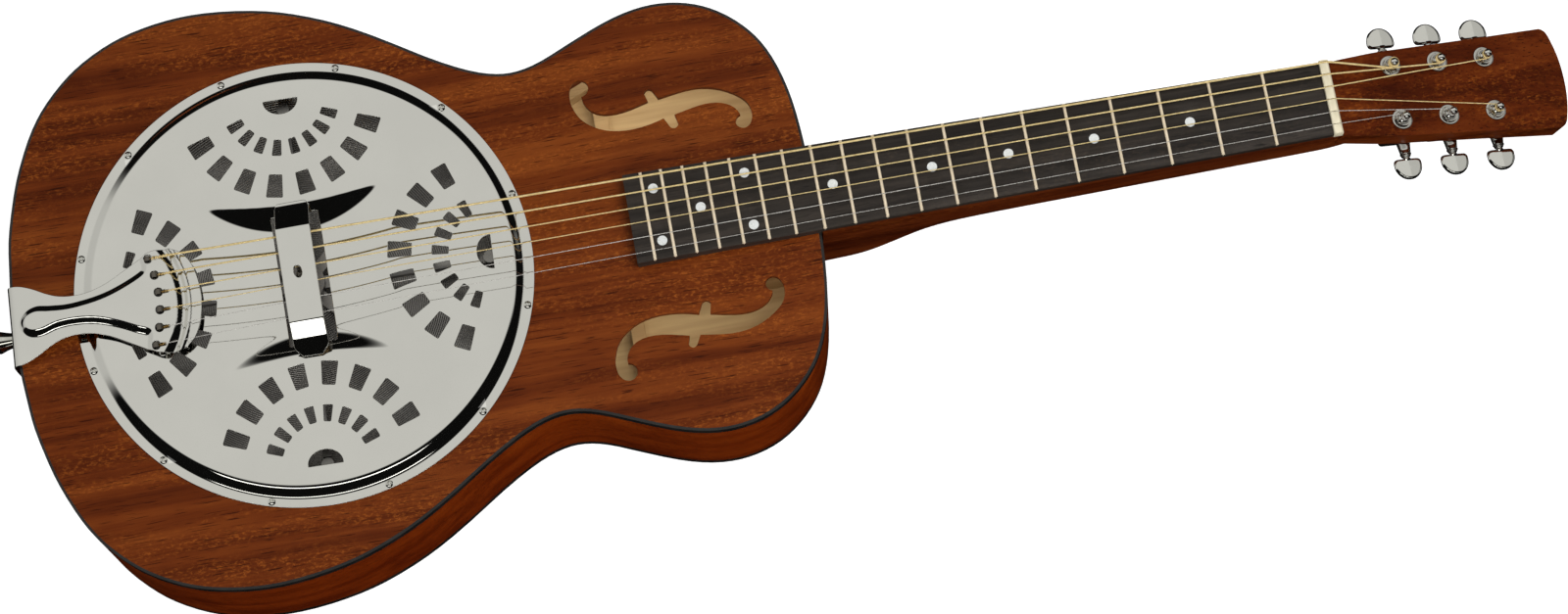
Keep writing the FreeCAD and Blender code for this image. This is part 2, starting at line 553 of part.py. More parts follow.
nut = new_body("nut")
sk = new_sketch(nut, "nut_side", "XZ_Plane")
nl, nh = dim("nut_length"), dim("nut_height")
draw_chain(sk, [(0.05, -BT + 0.05), (nl + 0.05, -BT + 0.05), (nl + 0.05, nh - 1.6), (nl - 1.0, nh - 0.35), (nl - 2.6, nh), (0.7, nh), (0.05, nh - 0.5)])
pad(nut, sk, "2 * Dims.nut_half_width + 0.4", "nut_pad", midplane=True)
sk = new_sketch(nut, "string_slots", "YZ_Plane", "-1")
for name, radius, ys_, yn in STRINGS:
    draw_rectangle(sk, yn - radius - 0.08, 1.7 - radius - 0.24, yn + radius + 0.08, 6.0)
pocket(nut, sk, "10", "slot_pocket", reverse=True)
nut.Placement = BOARD

# ---------------------------------------------------------------- neck: shaft, heel and headstock from one piece of wood
# The shaft is square: flat sides a little inside the board's edges, a flat underside that sweeps down into a deep heel
HEEL_X = 325.1
UNDERSIDE = [(325.1, 21.4), (335.0, 21.9), (345.0, 23.0), (353.0, 25.4), (360.0, 29.2), (367.0, 34.2), (374.0, 39.6), (381.0, 45.2), (388.0, 50.2), (397.0, 54.6),
             (408.0, 57.6), (420.0, 59.0), (440.0, 59.8), (480.0, 60.0), (540.0, 60.0), (600.0, 60.0), (640.0, 60.1), (651.0, 61.0), (660.0, 64.0), (667.0, 67.6), (673.0, 70.8)]
curve = Part.BSplineCurve()
curve.interpolate([V(x, 0, z) for x, z in UNDERSIDE])
outline = [V(673.0, 0, 70.8), V(673.0, 0, 82.0), V(656.0, 0, 86.0), V(648.0, 0, 100.0), V(HEEL_X, 0, 100.0), V(HEEL_X, 0, UNDERSIDE[0][1])]
edges = [curve.toShape()] + [Part.LineSegment(a, b).toShape() for a, b in zip(outline, outline[1:])]
profile = Part.Face(Part.Wire(Part.__sortEdges__(edges))).extrude(V(0, 80, 0))
profile.translate(V(0, -40, 0))
wide, narrow = board_half(HEEL_X - NUT_X) - 0.5, board_half(0) - 0.5
plan = Part.Face(Part.makePolygon([V(HEEL_X, -wide, 0), V(HEEL_X, wide, 0), V(655.0, narrow, 0), V(673.0, narrow, 0), V(673.0, -narrow, 0), V(655.0, -narrow, 0), V(HEEL_X, -wide, 0)])).extrude(V(0, 0, 110))
shaft = profile.common(plan)
long_edges = []
for edge in shaft.Edges:
    box = edge.BoundBox
    middle = edge.valueAt((edge.FirstParameter + edge.LastParameter) / 2.0)
    if box.XLength > 10 and abs(middle.y) > 15 and box.ZMax < 75:
        long_edges.append(edge)
shaft = shaft.makeFillet(2.5, long_edges)

HEAD_ORIGIN = V(700.0, 0, DEPTH - 11.8)
HEAD = FreeCAD.Placement(HEAD_ORIGIN, FreeCAD.Rotation(V(0, 1, 0), dim("head_tilt")))
HT = dim("head_thickness")
head_half = [(-44.2, 24.3), (-39.3, 25.1), (-28, 26.4), (-20.7, 27.2), (-10, 28.2), (0, 28.7), (20.7, 29.6), (41.4, 30.5), (62.0, 31.4), (82.7, 32.5), (98.2, 33.3), (104.8, 33.6)]
edge_a = open_spline(head_half).toShape()
edge_b = open_spline([(x, -y) for x, y in head_half]).toShape()
tip = open_spline([(104.8, 33.6), (108.2, 31.4), (110.6, 26.0), (113.4, 13.0), (114.2, 0), (113.4, -13.0), (110.6, -26.0), (108.2, -31.4), (104.8, -33.6)]).toShape()
root = Part.LineSegment(V(-44.2, 24.3, 0), V(-44.2, -24.3, 0)).toShape()
head = Part.Face(Part.Wire(Part.__sortEdges__([edge_a, edge_b, tip, root]))).extrude(V(0, 0, -HT))
posts = [(dim("post_start") + dim("post_pitch") * k, side * dim("post_y"), side) for side in (1, -1) for k in range(3)]
for x, y, side in posts:
    head = head.cut(Part.makeCylinder(4.45, HT + 2, V(x, y, -HT - 1)))
    head = head.cut(Part.makeCylinder(1.0, 8.5, V(x + 3.0, y - side * 10.6, -HT - 0.5)))
head.Placement = HEAD
neck = shaft
over = Part.makeBox(400, 100, 60, V(-390, -50, -BT - 0.02))     # keeps everything under the board's glue face
over.Placement = BOARD
neck = neck.cut(over)
neck = neck.fuse(head)
seat = Part.makeBox(nl + 0.15, 80, 30, V(0, -40, -BT + 0.02))
seat.Placement = BOARD
neck = neck.cut(seat)
channel = Part.makeBox(310, 6.4, 9.6, V(-322, -3.2, -BT - 9.6))
channel.Placement = BOARD
neck = neck.cut(channel)
for z in (30.0, 62.0):
    neck = neck.cut(cylinder(2.9 if z < 40 else 2.9, (300, 0, z), (337, 0, z)))
feature("neck", neck.removeSplitter())

rod = Part.makeBox(300, 6.0, 9.0, V(-318, -3.0, -BT - 9.4))
feature("truss_rod", rod, BOARD)

bolts = []
for z in (30.0, 62.0):
    bolts.append(cylinder(2.8, (272, 0, z), (336.5, 0, z)).fuse(cylinder(5.8, (268.5, 0, z), (273.8, 0, z))).cut(
        cylinder(2.6, (260, 0, z), (271.5, 0, z))))
feature("neck_bolts", Part.Compound(bolts))

# riser that carries the end of the fingerboard over the soundboard
riser = Part.makeBox(117.0, 100, 12, V(END_X + 0.3, -50, -BT - 12.05))
riser.Placement = BOARD
riser = riser.common(Part.makeBox(200, 100, 30, V(200, -50, DEPTH + 0.05))).common(Part.makeBox(124.8, 100, 60, V(200, -50, 60)))
taper = prism([(END_X, board_half(END_X) - 0.5), (-300, board_half(-300) - 0.5), (-300, -board_half(-300) + 0.5), (END_X, -board_half(END_X) + 0.5)], -40, 20)
taper.Placement = BOARD
riser = riser.common(taper)
feature("fingerboard_riser", riser)

# ---------------------------------------------------------------- tuners, drawn in the headstock frame at one post, bass side
C = dim("worm_offset")
GZ = -dim("gear_depth")
MOD = dim("gear_module")
TEETH = int(dim("gear_teeth"))
PITCH = math.pi * MOD
RP = MOD * TEETH / 2.0
RW = C - RP
SR = dim("shaft_radius")
PR = dim("post_radius")


def make_post():
    pts = [(0, 10.3), (1.2, 10.15), (2.1, 9.7), (2.7, 8.9), (2.6, 8.3), (2.1, 7.9), (2.1, 3.5), (PR, 3.35), (PR, GZ + 3.0), (2.0, GZ + 3.0), (2.0, GZ - 2.0), (0, GZ - 2.0)]
    wire = Part.makePolygon([V(r, 0, z) for r, z in pts] + [V(pts[0][0], 0, pts[0][1])])
    shape = Part.Face(wire).revolve(V(0, 0, 0), V(0, 0, 1), 360)
    return shape.cut(cylinder(0.85, (-5, 0, 5.65), (5, 0, 5.65)))


def make_gear():
    tip_r, root_r = RP + 0.55, RP - 0.75
    half_tip, half_root = 0.22 * PITCH / 2, 0.66 * PITCH / 2
    pts = []
    for k in range(TEETH):
        mid = 2 * math.pi * (k + 0.5) / TEETH     # a gap faces the worm
        for r, off in ((root_r, -half_root), (tip_r, -half_tip), (tip_r, half_tip), (root_r, half_root)):
            a = mid + off / r
            pts.append((r * math.cos(a), r * math.sin(a)))
    wheel = prism(pts, GZ - 1.2, GZ + 1.2)
    return wheel.cut(Part.makeCylinder(2.02, 10, V(0, 0, GZ - 5)))


def make_worm():
    """Single-start worm on its shaft, axis along +Y through (C, 0, GZ)."""
    turns = 3
    root_r, tip_r = RW - 0.70, RW + 0.55
    core = Part.makeCylinder(root_r, turns * PITCH + 3.4, V(0, 0, -1.5 * PITCH - 1.7))
    helix = Part.makeHelix(PITCH, turns * PITCH, root_r - 0.12)
    half_root, half_tip = 0.62 * PITCH / 2, 0.20 * PITCH / 2
    r0_ = root_r - 0.12
    section = Part.makePolygon([V(r0_, 0, -half_root), V(tip_r, 0, -half_tip), V(tip_r, 0, half_tip), V(r0_, 0, half_root), V(r0_, 0, -half_root)])
    pipe = Part.Wire(helix.Edges).makePipeShell([section], True, True)
    pipe.translate(V(0, 0, -1.5 * PITCH))
    pipe.rotate(V(0, 0, 0), V(0, 0, 1), 180)   # the thread's middle crosses the side that faces the post
    worm = core.fuse(pipe)
    worm = worm.fuse([Part.makeCylinder(SR, 25.7, V(0, 0, -6.9))])
    worm = worm.cut([Part.makeCylinder(1.1, 8, V(0, 0, 14.6))])
    # local X looks back to the post, local Z becomes +Y
    m = FreeCAD.Matrix(-1, 0, 0, C, 0, 0, 1, 0, 0, 1, 0, GZ, 0, 0, 0, 1)
    return worm.transformed(m)


def make_button():
    """D-shaped knob: flat edge towards the headstock, its collar turning on the end of the housing."""
    y0 = 19.6
    half, tall = 9.4, 13.6
    pts = [(-7.6, y0 + 0.2), (-4, y0), (0, y0), (4, y0), (7.6, y0 + 0.2), (9.0, y0 + 1.5), (half, y0 + 4.0), (8.8, y0 + 7.4), (6.6, y0 + 10.8), (3.4, y0 + 13.0), (0, y0 + tall), (-3.4, y0 + 13.0), (-6.6, y0 + 10.8), (-8.8, y0 + 7.4), (-half, y0 + 4.0), (-9.0, y0 + 1.5)]
    wire = Part.Wire([closed_spline(pts).toShape()])
    disc = Part.Face(wire).extrude(V(0, 0, 4.4))
    disc.translate(V(0, 0, -2.2))
    try:
        disc = disc.makeFillet(1.3, disc.Edges)
    except Exception:
        pass
    collar = Part.Face(Part.makePolygon([V(0, 17.3, 0), V(3.1, 17.3, 0), V(3.1, 18.3, 0), V(2.2, 18.8, 0), V(2.4, 20.6, 0), V(0, 20.6, 0), V(0, 17.3, 0)])).revolve(V(0, 0, 0), V(0, 1, 0), 360)
    knob = disc.fuse(collar)
    knob = knob.cut(cylinder(1.62, (0, 10, 0), (0, 18.95, 0)))
    knob.translate(V(C, 0, GZ))
    return knob


def make_housing():
    box = Part.makeBox(20.0, 16.6, 12.4, V(-7.4, -8.2, -HT - 12.4 - 0.05))
    try:
        box = box.makeFillet(2.2, [e for e in box.Edges if abs(e.Vertexes[0].Z - e.Vertexes[1].Z) > 1])
        box = box.makeFillet(1.6, [e for e in box.Edges if abs(e.BoundBox.ZMin - (-HT - 12.45)) < 1e-3 and abs(e.BoundBox.ZMax - (-HT - 12.45)) < 1e-3])
    except Exception:
        pass
    boss = Part.makeCone(4.5, 3.3, 9.4, V(C, 7.6, GZ), V(0, 1, 0))
    lip = Part.makeCylinder(3.7, 1.0, V(C, 16.0, GZ), V(0, 1, 0))
    ear = Part.makeBox(6.0, 5.0, 2.4, V(0.0, -11.0, -HT - 2.45)).fuse(Part.makeCylinder(3.0, 2.4, V(3.0, -10.8, -HT - 2.45)))
    shape = box.fuse([boss, lip, ear])
    shape = shape.cut([
        Part.makeCylinder(6.25, 6.4, V(0, 0, GZ - 3.2)),                # wheel chamber
        Part.makeCylinder(3.3, 8, V(0, 0, GZ + 2.5)),                   # post passage
        cylinder(3.35, (C, -5.4, GZ), (C, 6.2, GZ)),                    # worm chamber
        cylinder(SR + 0.05, (C, -7.2, GZ), (C, 20, GZ)),                # shaft bearings
        Part.makeCylinder(1.05, 10, V(3.0, -10.6, -HT - 6)),            # ear hole
    ])
    return shape


def make_bushing():
    hexagon = [(5.4 * math.cos(math.radians(60 * k + 12)), 5.4 * math.sin(math.radians(60 * k + 12))) for k in range(6)]
    nut_ = prism(hexagon, 0.95, 2.6)
    nut_ = nut_.common(Part.makeCone(5.6, 4.6, 1.9, V(0, 0, 0.9)).fuse(Part.makeCylinder(5.45, 1.0, V(0, 0, 0.9))))
    sleeve = Part.makeCylinder(4.3, 12.0, V(0, 0, -9.5))
    lip = Part.makeCylinder(3.9, 3.1, V(0, 0, 0.2))
    return nut_.fuse([sleeve.common(Part.makeCylinder(4.3, 11.6, V(0, 0, -9.5))), lip]).cut(Part.makeCylinder(PR + 0.05, 30, V(0, 0, -15)))


def make_washer():
    ring_ = Part.makeCone(6.8, 6.3, 0.9, V(0, 0, 0.03)).cut(Part.makeCylinder(4.4, 4, V(0, 0, -1)))
    return ring_


def make_tuner_screw():
    shank = Part.makeCylinder(0.95, 9.8, V(3.0, -10.6, -HT - 2.8))
    head_ = Part.makeCone(1.3, 1.9, 0.9, V(3.0, -10.6, -HT - 3.4))
    return shank.fuse(head_).cut(Part.makeBox(3, 0.5, 0.5, V(1.5, -10.85, -HT - 3.6)))


base_post, base_gear, base_worm, base_knob = make_post(), make_gear(), make_worm(), make_button()
housings, bushings, washers, tuner_screws = [], [], [], []
base_housing, base_bushing, base_washer, base_screw = make_housing(), make_bushing(), make_washer(), make_tuner_screw()


def placed(shape, x, y, side):
    item = shape.copy()
    if side < 0:
        item = item.mirror(V(0, 0, 0), V(0, 1, 0))
    item.translate(V(x, y, 0))
    return item


names = ["bass_1", "bass_2", "bass_3", "treble_1", "treble_2", "treble_3"]
for name, (x, y, side) in zip(names, posts):
    housings.append(placed(base_housing, x, y, side))
    bushings.append(placed(base_bushing, x, y, side))
    washers.append(placed(base_washer, x, y, side))
    tuner_screws.append(placed(base_screw, x, y, side))
    feature("tuner_button_" + name, placed(base_knob, x, y, side), HEAD)
    feature("tuner_worm_" + name, placed(base_worm, x, y, side), HEAD)
    feature("tuner_post_" + name, placed(base_post, x, y, side), HEAD)
    feature("tuner_gear_" + name, placed(base_gear, x, y, side), HEAD)
feature("tuner_housings", Part.Compound(housings), HEAD)
feature("tuner_bushings", Part.Compound(bushings), HEAD)
feature("tuner_washers", Part.Compound(washers), HEAD)
feature("tuner_screws", Part.Compound(tuner_screws), HEAD)

# ---------------------------------------------------------------- strings
order = {0: 0, 1: 1, 2: 2, 3: 5, 4: 4, 5: 3}       # string to tuner


def to_world(placement, x, y, z):
    return placement.multVec(V(x, y, z))


def string_tube(points, radius):
    """Straight runs joined by tangent arcs, swept with a round section."""
    edges, start = [], points[0]
    for a, b, c in zip(points, points[1:], points[2:]):
        u, w_ = (a - b).normalize(), (c - b).normalize()
        turn = math.pi - u.getAngle(w_)
        reach = min(0.4 * (a - b).Length, 0.4 * (c - b).Length, 6.0)
        bend = reach / math.tan(turn / 2.0)
        p, q = b + u * reach, b + w_ * reach
        middle_dir = (u + w_).normalize()
        centre = b + middle_dir * math.hypot(reach, bend)
        mid = centre - middle_dir * bend
        edges.append(Part.LineSegment(start, p).toShape())
        edges.append(Part.Arc(p, mid, q).toShape())
        start = q
    edges.append(Part.LineSegment(start, points[-1]).toShape())
    along = (points[1] - points[0]).normalize()
    section = Part.Wire(Part.makeCircle(radius, points[0], along))
    tube = Part.Wire(edges).makePipeShell([section], True, False)
    length = sum(edge.Length for edge in edges)
    print("string volume over section times length", round(tube.Volume / (math.pi * radius ** 2 * length), 4), tube.isValid())
    return tube


wound, plain, balls = [], [], []
for i, (name, radius, ys_, yn) in enumerate(STRINGS):
    kx, ky = KEYS[i]
    key = TAIL_PLACE.multVec(V(kx + 1.4, ky, TOPZ + 16.9 + radius))
    direction = math.atan2(ys_ - key.y, SADDLE_X - key.x)
    bar_top = V(key.x + 14.5 * math.cos(direction), key.y + 14.5 * math.sin(direction), TOPZ + 18.05 + radius)
    if i in (0, 5):
        bar_top = V(key.x + 12.5 * math.cos(direction), key.y + 12.5 * math.sin(direction), TOPZ + 18.05 + radius)
    saddle = V(SADDLE_X, ys_, SADDLE_TOP + 0.1 + radius)
    at_nut = to_world(BOARD, 1.2, yn, 1.7)
    at_back = to_world(BOARD, 6.2, yn, 1.7)
    tx, ty, side = posts[order[i]]
    wrap_r = 2.1 + radius + 0.12
    turns = 3
    wraps_z = [5.65 + (k - (turns - 1) / 2.0) * (2 * radius + 0.04) for k in range(turns)]
    centre = to_world(HEAD, tx, ty, wraps_z[0])
    start = V(at_back.x, at_back.y, 0)
    cx, cy = centre.x - start.x, centre.y - start.y
    dist = math.hypot(cx, cy)
    swing = math.asin(wrap_r / dist)
    base = math.atan2(cy, cx)
    ang = base - side * swing
    run = math.sqrt(dist * dist - wrap_r * wrap_r)
    end = V(start.x + run * math.cos(ang), start.y + run * math.sin(ang), centre.z)
    points = [key, bar_top, saddle, at_nut, at_back, end]
    tube = string_tube(points, radius)
    group = wound if i < 4 else plain
    group.append(tube)
    for k, wz in enumerate(wraps_z):
        torus = Part.makeTorus(wrap_r, radius, V(tx, ty, wz), V(0, 0, 1))
        torus.Placement = HEAD.multiply(torus.Placement)
        if k > 0:      # the string comes in at the lowest level, and its turns lie above it
            group.append(torus)
    ball = Part.makeCylinder(2.0, 3.2, V(0, -1.6, 0), V(0, 1, 0))
    ball = ball.cut(Part.makeCylinder(0.8, 4, V(0, -2, 0), V(0, 1, 0)))
    ball.translate(V(kx - 1.0, ky, TOPZ + 16.7))
    ball.Placement = TAIL_PLACE.multiply(ball.Placement)
    balls.append(ball)
    print("string", name, [tuple(round(v, 2) for v in p) for p in points])
feature("wound_strings", Part.Compound(wound))
feature("plain_strings", Part.Compound(plain))
feature("ball_ends", Part.Compound(balls))

# ---------------------------------------------------------------- checks and export
doc.recompute()
bad = []
for item in doc.Objects:
    if any(word in ("Invalid", "Error") for word in item.State):
        bad.append("%s is %s" % (item.Name, item.State))
labels = [item.Label for item in NODES]
if len(set(labels)) != len(labels):
    bad.append("two sub-parts share a label")
for item in NODES:
    shape = item.Shape
    if shape.isNull():
        bad.append(item.Label + " is empty")
    elif not shape.isValid():
        bad.append(item.Label + " is not valid")
    elif not shape.Solids:
        bad.append(item.Label + " has no solid")
if bad:
    raise RuntimeError("; ".join(bad))
os.makedirs("parts", exist_ok=True)
for item in NODES:
    item.Shape.exportStep("parts/" + item.Label + ".step")
print("nodes", len(NODES))
for item in NODES:
    print("%-24s solids %3d volume %12.1f" % (item.Label, len(item.Shape.Solids), item.Shape.Volume), [round(v, 1) for v in (item.Shape.BoundBox.XMin, item.Shape.BoundBox.XMax, item.Shape.BoundBox.YMin, item.Shape.BoundBox.YMax, item.Shape.BoundBox.ZMin, item.Shape.BoundBox.ZMax)])
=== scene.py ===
import bpy
import math
import numpy as np
from mathutils import Vector, Matrix
from mathutils.geometry import delaunay_2d_cdt


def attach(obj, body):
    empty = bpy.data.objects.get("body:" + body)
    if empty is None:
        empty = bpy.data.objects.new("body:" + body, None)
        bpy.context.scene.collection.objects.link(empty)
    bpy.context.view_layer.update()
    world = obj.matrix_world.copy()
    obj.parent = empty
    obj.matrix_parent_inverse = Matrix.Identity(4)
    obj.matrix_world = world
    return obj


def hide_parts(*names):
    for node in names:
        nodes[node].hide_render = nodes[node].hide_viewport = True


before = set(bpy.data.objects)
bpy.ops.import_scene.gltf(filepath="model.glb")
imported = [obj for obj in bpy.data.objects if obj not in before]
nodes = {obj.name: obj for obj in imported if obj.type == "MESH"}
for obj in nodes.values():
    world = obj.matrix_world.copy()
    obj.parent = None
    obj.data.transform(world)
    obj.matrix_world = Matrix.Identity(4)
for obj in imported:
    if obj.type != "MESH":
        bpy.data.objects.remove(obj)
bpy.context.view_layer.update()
scene = bpy.context.scene
MM = 0.001
TOP = 89.0          # height of the soundboard's face, mm


# ------------------------------------------------------------------ local frames, mm
class Place:
    def __init__(self, ox, oz, tilt):
        self.ox, self.oz = ox, oz
        self.c, self.s = math.cos(math.radians(tilt)), math.sin(math.radians(tilt))

    def __call__(self, p):
        p = np.atleast_2d(np.asarray(p, float))
        return np.column_stack([self.ox + p[:, 0] * self.c + p[:, 2] * self.s, p[:, 1], self.oz - p[:, 0] * self.s + p[:, 2] * self.c])

    def back(self, p):
        p = np.atleast_2d(np.asarray(p, float))
        dx, dz = p[:, 0] - self.ox, p[:, 2] - self.oz
        return np.column_stack([dx * self.c - dz * self.s, p[:, 1], dx * self.s + dz * self.c])


BOARD = Place(650.7, 93.0, 0.909)
HEAD = Place(700.0, 77.2, 14.74)


# ------------------------------------------------------------------ materials
class Mat:
    def __init__(self, name):
        self.m = bpy.data.materials.new(name)
        self.m.use_nodes = True
        self.t = self.m.node_tree
        self.t.nodes.clear()
        self.out = self.t.nodes.new("ShaderNodeOutputMaterial")
        self.b = self.t.nodes.new("ShaderNodeBsdfPrincipled")
        self.t.links.new(self.b.outputs[0], self.out.inputs[0])
        self.tc = self.t.nodes.new("ShaderNodeTexCoord")

    def set(self, **kw):
        for k, v in kw.items():
            self.b.inputs[k.replace("_", " ")].default_value = v
        return self

    def link(self, a, b):
        self.t.links.new(a, b)

    def vec(self, scale=(1, 1, 1), loc=(0, 0, 0), rot=(0, 0, 0), src=None):
        n = self.t.nodes.new("ShaderNodeMapping")
        n.inputs["Scale"].default_value = scale
        n.inputs["Location"].default_value = loc
        n.inputs["Rotation"].default_value = rot
        self.link(src if src is not None else self.tc.outputs["Object"], n.inputs["Vector"])
        return n.outputs[0]

    def noise(self, v, scale=1.0, detail=3.0, rough=0.55, dist=0.0):
        n = self.t.nodes.new("ShaderNodeTexNoise")
        n.inputs["Scale"].default_value = scale
        n.inputs["Detail"].default_value = detail
        n.inputs["Roughness"].default_value = rough
        n.inputs["Distortion"].default_value = dist
        self.link(v, n.inputs["Vector"])
        return n.outputs["Fac"]

    def math(self, op, a, b=None, c=None, clamp=False):
        n = self.t.nodes.new("ShaderNodeMath")
        n.operation = op
        n.use_clamp = clamp
        for i, v in enumerate((a, b, c)):
            if v is None:
                continue
            if isinstance(v, (int, float)):
                n.inputs[i].default_value = v
            else:
                self.link(v, n.inputs[i])
        return n.outputs[0]

    def rng(self, v, a, b, c=0.0, d=1.0, smooth=True):
        n = self.t.nodes.new("ShaderNodeMapRange")
        n.interpolation_type = "SMOOTHSTEP" if smooth else "LINEAR"
        n.clamp = True
        for k, x in zip(("From Min", "From Max", "To Min", "To Max"), (a, b, c, d)):
            n.inputs[k].default_value = x
        self.link(v, n.inputs["Value"])
        return n.outputs[0]

    def ramp(self, fac, stops):
        n = self.t.nodes.new("ShaderNodeValToRGB")
        el = n.color_ramp.elements
        while len(el) < len(stops):
            el.new(0.5)
        for e, (p, c) in zip(el, stops):
            e.position = p
            e.color = (*c, 1)
        self.link(fac, n.inputs[0])
        return n.outputs[0]

    def mix(self, fac, a, b, mode="MIX"):
        n = self.t.nodes.new("ShaderNodeMix")
        n.data_type = "RGBA"
        n.blend_type = mode
        n.clamp_factor = True
        for i, v in ((0, fac), (6, a), (7, b)):
            if isinstance(v, tuple):
                n.inputs[i].default_value = (*v, 1)
            elif isinstance(v, (int, float)):
                n.inputs[i].default_value = v
            else:
                self.link(v, n.inputs[i])
        return n.outputs[2]

    def sep(self, v=None):
        n = self.t.nodes.new("ShaderNodeSeparateXYZ")
        self.link(v if v is not None else self.tc.outputs["Object"], n.inputs[0])
        return n.outputs

    def comb(self, x, y, z):
        n = self.t.nodes.new("ShaderNodeCombineXYZ")
        for i, v in enumerate((x, y, z)):
            if isinstance(v, (int, float)):
                n.inputs[i].default_value = v
            else:
                self.link(v, n.inputs[i])
        return n.outputs[0]

    def bump(self, h, strength=0.2, dist=0.0002, prev=None):
        n = self.t.nodes.new("ShaderNodeBump")
        n.inputs["Strength"].default_value = strength
        n.inputs["Distance"].default_value = dist
        self.link(h, n.inputs["Height"])
        if prev is not None:
            self.link(prev, n.inputs["Normal"])
        return n.outputs[0]

    def color(self, s):
        self.link(s, self.b.inputs["Base Color"])

    def rough(self, s):
        self.link(s, self.b.inputs["Roughness"])

    def normal(self, s):
        self.link(s, self.b.inputs["Normal"])


def wood(name, dark, mid, light, grain="x", bands=34.0, fleck=0.5, rough=0.42, spec=0.3, pores=0.8, gain=1.0, seed=0.0, streak=0.5):
    """Open-pored mahogany: long streaks, ribbon figure, pores, fine fibre. grain is the axis of the fibres."""
    m = Mat(name)
    x, y, z = m.sep()[:3]
    if grain == "x":
        along, across, other = x, y, z
    else:
        along, across, other = y, x, z
    base = m.comb(m.math("ADD", along, seed), across, other)
    # the fibres wander gently along their length
    wander = m.noise(m.vec((3.2, 9.0, 9.0), src=base), 1.0, 2.0, 0.5)
    wob = m.math("MULTIPLY", m.math("SUBTRACT", wander, 0.5), 0.016)
    acr = m.math("ADD", across, wob)
    v = m.comb(m.math("ADD", along, seed), acr, other)
    band = m.noise(m.vec((1.5, bands, bands), src=v), 1.0, 4.0, 0.62, 0.25)
    broad = m.noise(m.vec((1.1, 9.0, 9.0), loc=(3.1, 0.4, 0.2), src=v), 1.0, 2.0, 0.5)
    fine = m.noise(m.vec((16.0, 420.0, 420.0), src=v), 1.0, 3.0, 0.6)
    ribbon = m.noise(m.vec((300.0, 620.0, 620.0), loc=(0.7, 2.0, 0.0), src=v), 1.0, 3.0, 0.62, 0.6)
    curl = m.noise(m.vec((26.0, 11.0, 11.0), loc=(5.0, 1.0, 0.0), src=v), 1.0, 2.0, 0.5, 0.4)
    tone = m.math("ADD", m.math("MULTIPLY", m.rng(band, 0.33, 0.70), streak), m.math("MULTIPLY", m.rng(broad, 0.3, 0.7), 0.24))
    tone = m.math("ADD", tone, m.math("MULTIPLY", m.rng(fine, 0.25, 0.75), 0.14))
    tone = m.math("ADD", tone, m.math("MULTIPLY", m.math("SUBTRACT", m.rng(curl, 0.3, 0.7), 0.5), 0.10))
    col = m.ramp(tone, [(0.05, dark), (0.45, mid), (0.95, light)])
    where = m.rng(m.noise(m.vec((6.0, 60.0, 60.0), loc=(2.2, 0.3, 0.0), src=v), 1.0, 3.0, 0.6), 0.40, 0.66)
    glow = m.math("MULTIPLY", m.math("MULTIPLY", m.rng(ribbon, 0.46, 0.72), where), fleck)
    bright = tuple(min(1.0, a * 1.55 + 0.012 * k) for a, k in zip(light, (2.6, 1.3, 0.1)))
    col = m.mix(glow, col, bright)
    pore_n = m.noise(m.vec((60.0, 1300.0, 1300.0), loc=(1.3, 0.1, 0.5), src=v), 1.0, 1.5, 0.5)
    pore = m.rng(pore_n, 0.60, 0.70)
    col = m.mix(m.math("MULTIPLY", pore, pores), col, tuple(a * 0.32 for a in dark))
    m.color(col)
    m.rough(m.rng(fine, 0.2, 0.8, rough - 0.06, rough + 0.08))
    m.set(Specular_IOR_Level=spec, IOR=1.5)
    nrm = m.bump(pore_n, 0.10, 0.00012)
    nrm = m.bump(fine, 0.06, 0.0001, prev=nrm)
    m.normal(nrm)
    return m


def metal(name, base, rough=0.05, mottled=0.0, scratch=0.03, spots=900.0):
    m = Mat(name)
    n1 = m.noise(m.vec((18, 18, 18)), 1.0, 4.0, 0.6)
    n2 = m.noise(m.vec((spots, spots * 0.8, spots)), 1.0, 2.0, 0.5)
    lo = tuple(c * (0.965 - mottled) for c in base)
    m.color(m.mix(m.rng(n1, 0.3, 0.7), lo, base))
    m.rough(m.math("ADD", m.rng(n1, 0.3, 0.75, rough * 0.7, rough * 1.25), m.math("MULTIPLY", m.rng(n2, 0.62, 0.8), scratch)))
    m.set(Metallic=1.0)
    return m


M = {}
M["top"] = wood("top_wood_mahogany", (0.040, 0.0056, 0.0006), (0.093, 0.0176, 0.0024), (0.158, 0.0375, 0.0055), bands=62.0, fleck=0.62, rough=0.46, spec=0.06, streak=0.56)
M["neck"] = wood("neck_wood_mahogany", (0.026, 0.0032, 0.0003), (0.060, 0.0094, 0.0011), (0.102, 0.0205, 0.0028), bands=80.0, fleck=0.58, rough=0.44, spec=0.06, seed=1.7, streak=0.60)
M["side"] = wood("side_wood_mahogany", (0.062, 0.0066, 0.0003), (0.108, 0.0138, 0.0006), (0.150, 0.0240, 0.0012), bands=60.0, fleck=0.22, rough=0.36, spec=0.05, seed=4.2, streak=0.5)
M["fb"] = wood("fingerboard_wood", (0.009, 0.0072, 0.0060), (0.020, 0.0160, 0.0130), (0.038, 0.030, 0.024), bands=120.0, fleck=0.16, rough=0.50, spec=0.20, seed=7.7, pores=0.7, streak=0.55)
M["inner"] = wood("inner_wood", (0.36, 0.21, 0.085), (0.50, 0.32, 0.14), (0.62, 0.42, 0.20), bands=40.0, fleck=0.05, rough=0.7, spec=0.15, pores=0.2, seed=2.2)
M["maple"] = wood("maple_insert", (0.42, 0.26, 0.11), (0.58, 0.40, 0.20), (0.68, 0.50, 0.28), bands=90.0, fleck=0.05, rough=0.55, spec=0.3, pores=0.1, seed=9.2)

